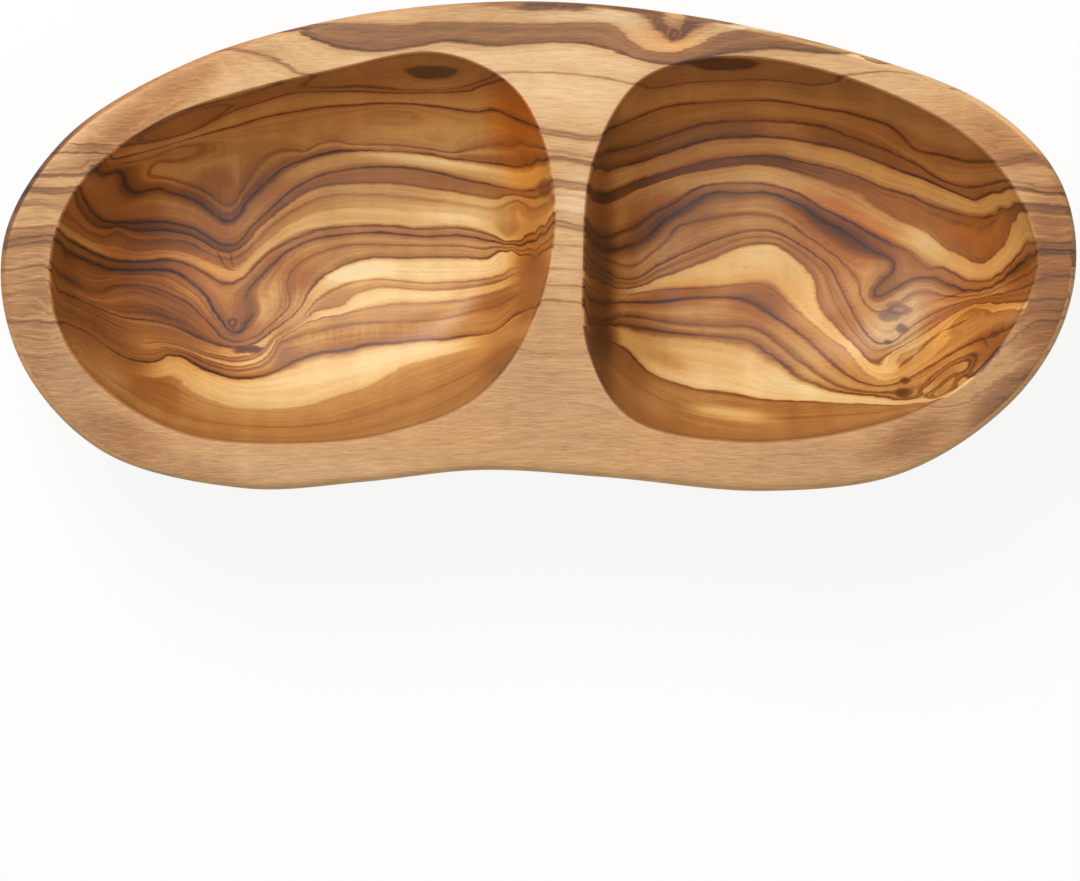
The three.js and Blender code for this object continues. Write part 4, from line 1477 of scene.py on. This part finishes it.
    def ring_level(self, sketch: Sketch, place: Socket, layers: Sockets) -> Socket:
        """Let the ring levels waver and feather, less so on the front.

        Args:
            sketch: tree to add to.
            place: place on the dish.
            layers: layers of the dish by name.

        Returns:
            The level.
        """
        feather = sketch.blend(layers["hollow"], *self.feathers)
        across = sketch.math("MULTIPLY", layers["ring_slope"], self.wander)
        forward = sketch.rise(sketch.split(place)[1], self.front_fade, -self.front_fade)
        front = sketch.math("MULTIPLY", layers["outside"], forward)
        calm = sketch.math("MULTIPLY_ADD", front, -self.front_calm, 1.0)
        along = sketch.math("MULTIPLY", layers["ring_run"], sketch.math("MULTIPLY", feather, calm))
        return sketch.use(
            self.wander_group(), Position=place, Level=layers["ring_level"], Across=across,
            Along=along, Frayed=sketch.math("MULTIPLY", across, calm))["Level"]

    def ring_tone(self, sketch: Sketch, place: Socket, layers: Sockets, level: Socket,
                  mottle: Socket) -> Socket:
        """Turn ring levels into tones, with thin dark edges of an even width.

        Args:
            sketch: tree to add to.
            place: place on the dish.
            layers: layers of the dish by name.
            level: level of the ring there.
            mottle: noise that makes the edges uneven.

        Returns:
            The tone.
        """
        right = sketch.math("GREATER_THAN", sketch.split(place)[0], DIVIDER_X * MM)

        def by_zone(name: str, profiles: Iterable[Profile]) -> Socket:
            """Read the profile of the zone that a point is in.

            Args:
                name: what the profiles give.
                profiles: profile of the left hollow, the right one, the rim and the outside.

            Returns:
                The value.
            """
            left, far, rim, outer = (
                sketch.use(RingTones(f"{key}_{name}", profile).group(), Level=level)["Tone"]
                for key, profile in zip(("left", "right", "rim", "outer"), profiles))
            top = sketch.blend(layers["hollow"], rim, sketch.blend(right, left, far))
            return sketch.blend(layers["outside"], top, outer)

        edges = (LEFT_EDGES, RIGHT_EDGES, RIM_EDGES, OUTER_EDGES)
        tone = by_zone("ring_tones", (LEFT_TONES, RIGHT_TONES, RIM_TONES, OUTER_TONES))
        gap = by_zone("edge_gaps", (edge_gaps(profile, self.edge_unit) for profile in edges))
        gap = sketch.math("DIVIDE", gap, sketch.math("MAXIMUM", layers["ring_slope"], self.edge_slope))
        gap = sketch.math("MULTIPLY", gap, self.edge_unit)
        width = sketch.math("MULTIPLY_ADD", mottle, self.edge_uneven * self.edge_width, self.edge_width)
        width = sketch.math("MAXIMUM", width, self.thinnest_edge)
        line = sketch.rise(sketch.math("DIVIDE", gap, width), 1.0, 0.25)
        depth = sketch.math("MULTIPLY", by_zone("edge_depths", edges), line)
        uneven = sketch.math("MULTIPLY_ADD", mottle, self.edge_depth_uneven, self.edge_depth)
        tone = sketch.math("SUBTRACT", tone, sketch.math("MULTIPLY", depth, uneven))
        tone = sketch.math("SMOOTH_MIN", tone, layers["palest"], self.palest_blur)
        return sketch.math("ADD", tone, layers["lighten"])

    def figured(self, sketch: Sketch, layers: Sockets, fibre: Sockets,
                tone: Socket) -> Socket:
        """Add streaks, mottle, curl, fibres, pores and shimmer to a tone.

        Args:
            sketch: tree to add to.
            layers: layers of the dish by name.
            fibre: outputs of the fibre group.
            tone: the tone.

        Returns:
            The figured tone.
        """
        streak = sketch.math("MULTIPLY_ADD", layers["figure"], self.streak_depth, self.streak_depth)
        # Shimmer is painted sheen: faint bright streaks across the grain, stronger in the hollows, that stand
        # for light caught by the satin oil.
        shine = sketch.math("MULTIPLY_ADD", layers["hollow"], self.shimmer_inside, self.shimmer_depth)
        tone = sketch.plus(
            tone,
            (fibre["Streak"], streak),
            (fibre["Mottle"], sketch.blend(layers["hollow"], *self.mottle_depths)),
            (sketch.math("MULTIPLY", fibre["Curl"], layers["curl"]), self.curl_depth),
            (fibre["Fibre"], sketch.blend(layers["hollow"], *self.fibre_depths)),
            (fibre["Pores"], -self.pore_depth))
        return sketch.math("ADD", tone, sketch.math("MULTIPLY", fibre["Shimmer"], shine))

    def knotted(self, sketch: Sketch, place: Socket, locator: SurfaceLocator, tone: Socket) -> Socket:
        """Set the knots into a tone.

        Args:
            sketch: tree to add to.
            place: place on the dish.
            locator: finds the knots on the dish.
            tone: the tone.

        Returns:
            The tone with its knots.
        """
        group = self.knot_group()
        rough = sketch.swing(sketch.noise(place, 2.0, 0.6, self.knot_rough_scale), self.knot_rough)
        for mark in KNOTS:
            radii = [*mark.radii, self.knot_depth]
            if mark.view is View.BACK:
                radii[1:] = radii[:0:-1]
            tone = sketch.use(
                group, Tone=tone, Position=place, Middle=tuple(locator.place(mark.middle, mark.view) * MM),
                Radii=[r * MM for r in radii], Strength=mark.strength, Rough=rough,
                Heart=mark.heart)["Tone"]
        return tone

    def checked(self, sketch: Sketch, place: Socket, locator: SurfaceLocator, outside: Socket) -> Socket:
        """Draw the drying checks, each in its own drawing's plane.

        Args:
            sketch: tree to add to.
            place: place on the dish.
            outside: 1 on the outside of the dish and 0 on its top.
        """
        group = self.check_group()
        depth: object = 0.0
        bend = sketch.fill(sketch.node("ShaderNodeTexNoise"), Vector=place, Scale=self.check_bend_scale)
        bend = sketch.vector_math("SUBTRACT", bend.outputs["Color"], (0.5,) * 3)
        bent = sketch.vector_math("ADD", place, sketch.vector_math("MULTIPLY", bend, (self.check_bend,) * 3))
        behind = sketch.math("GREATER_THAN", sketch.split(place)[1], 0.0)
        planes = {View.BACK: Vector((1, 0, 1)), View.PLAN: Vector((1, 1, 0))}
        flat = {view: sketch.vector_math("MULTIPLY", bent, plane) for view, plane in planes.items()}
        shown = {View.BACK: sketch.math("MULTIPLY", outside, behind),
                 View.PLAN: sketch.math("SUBTRACT", 1.0, outside)}
        for mark in CHECKS:
            start, end = (
                locator.place(spot, mark.view) * planes[mark.view] * MM for spot in (mark.start, mark.end))
            run = end - start
            found = sketch.use(group, Position=flat[mark.view], Start=start, Run=run,
                               Squared_Length=run.length_squared, Width=mark.width * MM)["Mask"]
            found = sketch.math("MULTIPLY", found, shown[mark.view])
            depth = sketch.math("MAXIMUM", depth, sketch.math("MULTIPLY", found, mark.depth))
        return depth

    def surface(self, sketch: Sketch, shader: Node, fibre: Sockets, hollow: Socket,
                checks: Socket) -> None:
        """Give the wood its sheen and its fine relief.

        Args:
            sketch: tree to add to.
            shader: the tree's Principled shader.
            fibre: outputs of the fibre group.
            hollow: 1 in the hollows and 0 elsewhere.
        """
        rough = sketch.blend(hollow, *self.roughness)
        rough = sketch.plus(
            rough, (fibre["Fibre"], self.fibre_roughness), (fibre["Pores"], self.pore_roughness))
        height = sketch.math("MULTIPLY", fibre["Fibre"], self.fibre_height)
        height = sketch.plus(height, (fibre["Pores"], -1.0), (checks, -self.check_height))
        bump = sketch.node("ShaderNodeBump")
        sketch.fill(bump, Strength=self.bump_strength, Distance=self.bump_distance, Height=height)
        sketch.fill(shader, Roughness=rough, Specular_IOR_Level=self.specular, Normal=bump.outputs[0])

    def material(self, locator: SurfaceLocator) -> bpy.types.Material:
        """Build the material.

        Args:
            locator: finds knots and checks on the dish.

        Returns:
            The material.
        """
        wood = bpy.data.materials.new("olive_wood")
        wood.use_nodes = True
        sketch = Sketch(wood.node_tree)
        place = sketch.node("ShaderNodeTexCoord").outputs["Object"]
        layers = {
            name: sketch.node("ShaderNodeAttribute", attribute_name=name).outputs["Fac"]
            for name in ("ring_level", "ring_slope", "ring_run", "hollow", "outside", "lighten", "warmth",
                         "figure", "palest", "curl")
        }
        level = self.ring_level(sketch, place, layers)
        fibre = sketch.use(self.fibre_group(), Position=place, Level=level)
        tone = self.ring_tone(sketch, place, layers, level, fibre["Mottle"])
        tone = self.figured(sketch, layers, fibre, tone)
        tone = self.knotted(sketch, place, locator, tone)
        checks = self.checked(sketch, place, locator, layers["outside"])
        tone = sketch.math("MULTIPLY", tone, sketch.math("SUBTRACT", 1.0, checks), clamp=True)
        warmth = sketch.plus(layers["warmth"], (fibre["Streak"], self.streak_warmth),
                             (fibre["Mottle"], self.mottle_warmth))
        oil = sketch.math("MULTIPLY_ADD", layers["outside"], self.oil_outside, layers["hollow"], clamp=True)
        colour = sketch.use(self.colour_group(), Tone=tone, Oil=oil, Warmth=warmth)["Color"]
        shader = sketch.find("BSDF_PRINCIPLED")
        sketch.fill(shader, colour)
        self.surface(sketch, shader, fibre, layers["hollow"], checks)
        return wood


# Hand-sanded surface


@dataclass(frozen=True)
class HandSanding:
    """Soft undulation that carving and hand sanding leave, made with geometry nodes."""

    depth: float = 0.00022
    scale: float = 34.0
    seed: float = 7.0

    def tree(self, material: bpy.types.Material) -> Tree:
        """Build the tree.

        Args:
            material: material that the result carries.

        Returns:
            Tree with the named inputs Geometry, Depth, Scale and Seed.
        """
        shape = "Geometry:Geometry"
        sketch = GroupSketch("hand_sanding", f"{shape} Depth Scale Seed", shape, "GeometryNodeTree")
        given = sketch.given
        noise = sketch.node("ShaderNodeTexNoise", noise_dimensions="4D")
        place = sketch.node("GeometryNodeInputPosition").outputs[0]
        sketch.fill(noise, Vector=place, Scale=given["Scale"], W=given["Seed"], Detail=1.0)
        mask = sketch.node("GeometryNodeInputNamedAttribute", data_type="FLOAT")
        sketch.fill(mask, Name="sanded")
        amount = sketch.math("MULTIPLY", mask.outputs["Attribute"], given["Depth"])
        rise = sketch.math("MULTIPLY", sketch.swing(noise.outputs[0]), amount)
        normal = sketch.node("GeometryNodeInputNormal").outputs[0]
        offset = sketch.vector_math("SCALE", normal, Scale=rise)
        moved = sketch.fill(
            sketch.node("GeometryNodeSetPosition"), Geometry=given["Geometry"], Offset=offset)
        real = sketch.fill(sketch.node("GeometryNodeRealizeInstances"), moved.outputs[0])
        dressed = sketch.fill(
            sketch.node("GeometryNodeSetMaterial"), Geometry=real.outputs[0], Material=material)
        sketch.feed(sketch.result[0], dressed.outputs[0])
        return sketch.tree

    def apply(self, piece: Object, material: bpy.types.Material) -> None:
        """Shape a piece and leave it a plain mesh.

        Args:
            piece: the piece.
            material: material that it carries.
        """
        tree = self.tree(material)
        modifier = piece.modifiers.new("hand_sanding", "NODES")
        modifier.node_group = tree
        values = {"Depth": self.depth, "Scale": self.scale, "Seed": self.seed}
        for item in tree.interface.items_tree:
            if item.in_out == "INPUT" and item.name in values:
                modifier[item.identifier] = values[item.name]
        shaped = piece.evaluated_get(bpy.context.evaluated_depsgraph_get())
        mesh = bpy.data.meshes.new_from_object(shaped)
        piece.modifiers.remove(modifier)
        piece.data = mesh


# The dish


@dataclass
class Dish:
    """The whole carved dish: its mesh, the layers that its finish reads, and the finish."""

    shape: DishShape = field(default_factory=DishShape)
    finish: OliveWood = field(default_factory=OliveWood)
    sanding: HandSanding = field(default_factory=HandSanding)
    sanded_below_rim: float = 3.0
    sanded_above_foot: tuple[float, float] = (0.5, 4.0)
    steepest: float = 9.0
    painted_lip_shade: float = 0.07

    def layers(self, places: Array, zones: Array, locator: SurfaceLocator) -> dict[str, Array]:
        """Work out what the finish needs to know at each point.

        Args:
            places: points in millimetres.
            zones: zone of each point.
            locator: finds drawn lines on the dish.

        Returns:
            A value for each point, by layer name.
        """
        outside = np.isin(zones, (Zone.FOOT.value, Zone.BELLY.value))
        hollow = zones == Zone.HOLLOW.value
        top = RingField(*locator.guides((*RIM_LINES, *LEFT_LINES, *RIGHT_LINES)))
        outer = RingField(*locator.guides((*BACK_LINES, *FRONT_LINES, *RIM_LINES)))
        rings = np.zeros((len(places), 3))
        for part, drawn in ((outside, outer), (~outside, top)):
            rings[part] = drawn.at(places[part])
        marks = {name: np.zeros(len(places)) for name in ("lighten", "warmth", "figure", "curl", "paleness")}
        for zone, tone_patches in STAINS_AND_SHADE.items():
            shown = outside if zone is Zone.BELLY else zones == zone.value
            for tone_patch in tone_patches:
                weight = stain_and_shade_weights(places, tone_patch, locator.unit) * shown
                for name, total in marks.items():
                    total += getattr(tone_patch, name) * weight
        palest = 1.0 + marks.pop("paleness")
        depth = self.shape.rim_top(places[:, 0]) - places[:, 2]
        # Painted shade: the rounded lip of each hollow is made darker, against the highlight that it catches
        # from the lamps.
        marks["lighten"] -= self.painted_lip_shade * hollow * (depth < self.shape.inner_round)
        below_rim = smoothstep(depth, 0.0, self.sanded_below_rim)
        return marks | {
            "ring_level": rings[:, 0],
            "ring_slope": np.minimum(rings[:, 1], self.steepest),
            "ring_run": np.clip(rings[:, 2], -self.steepest, self.steepest),
            "hollow": hollow.astype(float),
            "outside": outside * smoothstep(depth, 0.0, self.shape.outer_round),
            "palest": palest,
            "sanded": below_rim * smoothstep(places[:, 2], *self.sanded_above_foot),
        }

    def build(self) -> Object:
        """Make the dish as one object.

        Returns:
            The object, at the origin, with its place in its mesh.
        """
        places, zones, faces = self.shape.build()
        locator = SurfaceLocator(places, faces)
        mesh = bpy.data.meshes.new("dish_wood")
        mesh.from_pydata((places * MM).tolist(), [], faces)
        for name, values in self.layers(places, zones, locator).items():
            layer = mesh.attributes.new(name, "FLOAT", "POINT")
            layer.data.foreach_set("value", values.astype(np.float32))
        self.face_outwards(mesh)
        material = self.finish.material(locator)
        mesh.materials.append(material)
        piece = bpy.data.objects.new("dish_wood", mesh)
        bpy.context.scene.collection.objects.link(piece)
        self.sanding.apply(piece, material)
        self.hold_in_box(piece.data)
        piece.data.shade_smooth()
        return piece

    @staticmethod
    def face_outwards(mesh: bpy.types.Mesh) -> None:
        """Turn every face outwards.

        Args:
            mesh: closed mesh.
        """
        work = bmesh.new()
        work.from_mesh(mesh)
        bmesh.ops.recalc_face_normals(work, faces=work.faces)
        work.to_mesh(mesh)
        work.free()

    @staticmethod
    def hold_in_box(mesh: bpy.types.Mesh) -> None:
        """Keep a mesh within the solid's own box.

        Args:
            mesh: mesh in metres.
        """
        flat = np.empty(len(mesh.vertices) * 3, dtype=np.float32)
        mesh.vertices.foreach_get("co", flat)
        low, high = (np.array(corner, dtype=np.float32) for corner in CAD_BOX)
        mesh.vertices.foreach_set("co", np.clip(flat.reshape(-1, 3), low, high).ravel())
        mesh.update()


# Studio


@dataclass(frozen=True)
class Lamp:
    """Soft square lamp: where it hangs, its side in metres, its watts and its colour."""

    name: str
    place: tuple[float, float, float]
    side: float
    power: float
    colour: tuple[float, float, float]

    def hang(self, target: Vector) -> None:
        """Hang the lamp.

        Args:
            target: point that it faces.
        """
        data = bpy.data.lights.new(self.name, "AREA")
        data.size = self.side
        data.energy = self.power
        data.color = self.colour
        lamp = bpy.data.objects.new(self.name, data)
        lamp.location = self.place
        lamp.rotation_euler = (target - Vector(self.place)).to_track_quat("-Z", "Y").to_euler()
        bpy.context.scene.collection.objects.link(lamp)


@dataclass(frozen=True)
class Studio:
    """Pale floor, soft lamps and a camera straight above, as in the photograph's plan view.

    The dish fills the width of the frame and lies in its upper half, because the
    photograph's lower half shows the same dish a second time from behind. Sizes are in
    metres, and the floor glows more away from the dish, between the two glow distances.
    """

    lens: float = 200.0
    sensor: float = 36.0
    frame_width: float = 0.2509
    camera_place: tuple[float, float] = (0.0002, -0.0452)
    farthest: float = 20.0
    lamps: tuple[Lamp, ...] = (
        Lamp("key", (-0.34, 0.58, 0.8), 0.6, 8.3, (1.0, 0.985, 0.96)),
        Lamp("top", (0.15, -0.1, 1.1), 0.8, 2.4, (1.0, 1.0, 1.0)),
    )
    lit_height: float = 0.02
    world_strength: float = 0.38
    floor_size: float = 6.0
    floor_drop: float = 0.0001
    floor_grey: float = 0.86
    floor_roughness: float = 0.9
    floor_specular: float = 0.1
    glow: float = 0.88
    glow_distances: tuple[float, float] = (0.3, 1.6)

    def camera(self) -> None:
        """Make the camera and give it to the scene."""
        data = bpy.data.cameras.new("camera")
        data.lens = self.lens
        data.sensor_width = self.sensor
        data.clip_end = self.farthest
        camera = bpy.data.objects.new("camera", data)
        distance = self.frame_width * self.lens / self.sensor
        camera.location = (*self.camera_place, RIM_HEIGHT * MM + distance)
        bpy.context.scene.collection.objects.link(camera)
        bpy.context.scene.camera = camera

    def floor(self) -> Object:
        """Lay the floor, pale to the camera and soft in its shadows.

        Returns:
            The floor.
        """
        half = self.floor_size / 2
        mesh = bpy.data.meshes.new("floor")
        corners = [(x * half, y * half, -self.floor_drop) for x, y in ((-1, -1), (1, -1), (1, 1), (-1, 1))]
        mesh.from_pydata(corners, [], [(0, 1, 2, 3)])
        floor = bpy.data.objects.new("floor", mesh)
        bpy.context.scene.collection.objects.link(floor)
        material = bpy.data.materials.new("pale_floor")
        material.use_nodes = True
        sketch = Sketch(material.node_tree)
        shader = sketch.fill(
            sketch.find("BSDF_PRINCIPLED"), (*(self.floor_grey,) * 3, 1), Roughness=self.floor_roughness,
            Specular_IOR_Level=self.floor_specular)
        glow = sketch.fill(sketch.node("ShaderNodeEmission"), (1, 1, 1, 1))
        place = sketch.node("ShaderNodeTexCoord").outputs["Object"]
        away = sketch.rise(sketch.vector_math("LENGTH", place), *self.glow_distances)
        share = sketch.math("MULTIPLY_ADD", away, 1 - self.glow, self.glow)
        seen = sketch.math("MULTIPLY", self.seen_directly(sketch), share)
        mix = sketch.fill(sketch.node("ShaderNodeMixShader"), seen, shader.outputs[0], glow.outputs[0])
        sketch.fill(sketch.find("OUTPUT_MATERIAL"), mix.outputs[0])
        mesh.materials.append(material)
        return floor

    @staticmethod
    def seen_directly(sketch: Sketch) -> Socket:
        """Tell what the camera sees directly, in a reflection or through glass.

        Args:
            sketch: tree to add to.

        Returns:
            1 for those rays and 0 for the rest.
        """
        path = sketch.node("ShaderNodeLightPath").outputs
        seen = sketch.math("ADD", path["Is Camera Ray"], path["Is Glossy Ray"])
        return sketch.math("ADD", seen, path["Is Transmission Ray"], clamp=True)

    def world(self) -> None:
        """Light the scene softly from all round, with white behind."""
        world = bpy.data.worlds.new("studio")
        world.use_nodes = True
        bpy.context.scene.world = world
        sketch = Sketch(world.node_tree)
        strength = sketch.blend(self.seen_directly(sketch), self.world_strength, 1.0)
        sketch.fill(sketch.find("BACKGROUND"), (1, 1, 1, 1), strength)

    def build(self) -> list[Object]:
        """Set up the studio.

        Returns:
            Objects of the stage.
        """
        self.camera()
        self.world()
        for lamp in self.lamps:
            lamp.hang(Vector((0, 0, self.lit_height)))
        return [self.floor()]


def main() -> None:
    """Build the dish and its studio, and report each piece."""
    logging.basicConfig(level=logging.INFO, format="%(message)s")
    bpy.context.scene.view_settings.view_transform = "Standard"
    for obj in Studio().build():
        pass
    piece = Dish().build()
    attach(piece, BODY)
    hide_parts(NODE)
    triangles = sum(len(face.vertices) - 2 for face in piece.data.polygons)
    log.info("%s: %d triangles", piece.name, triangles)


if __name__ == "__main__":
    main()
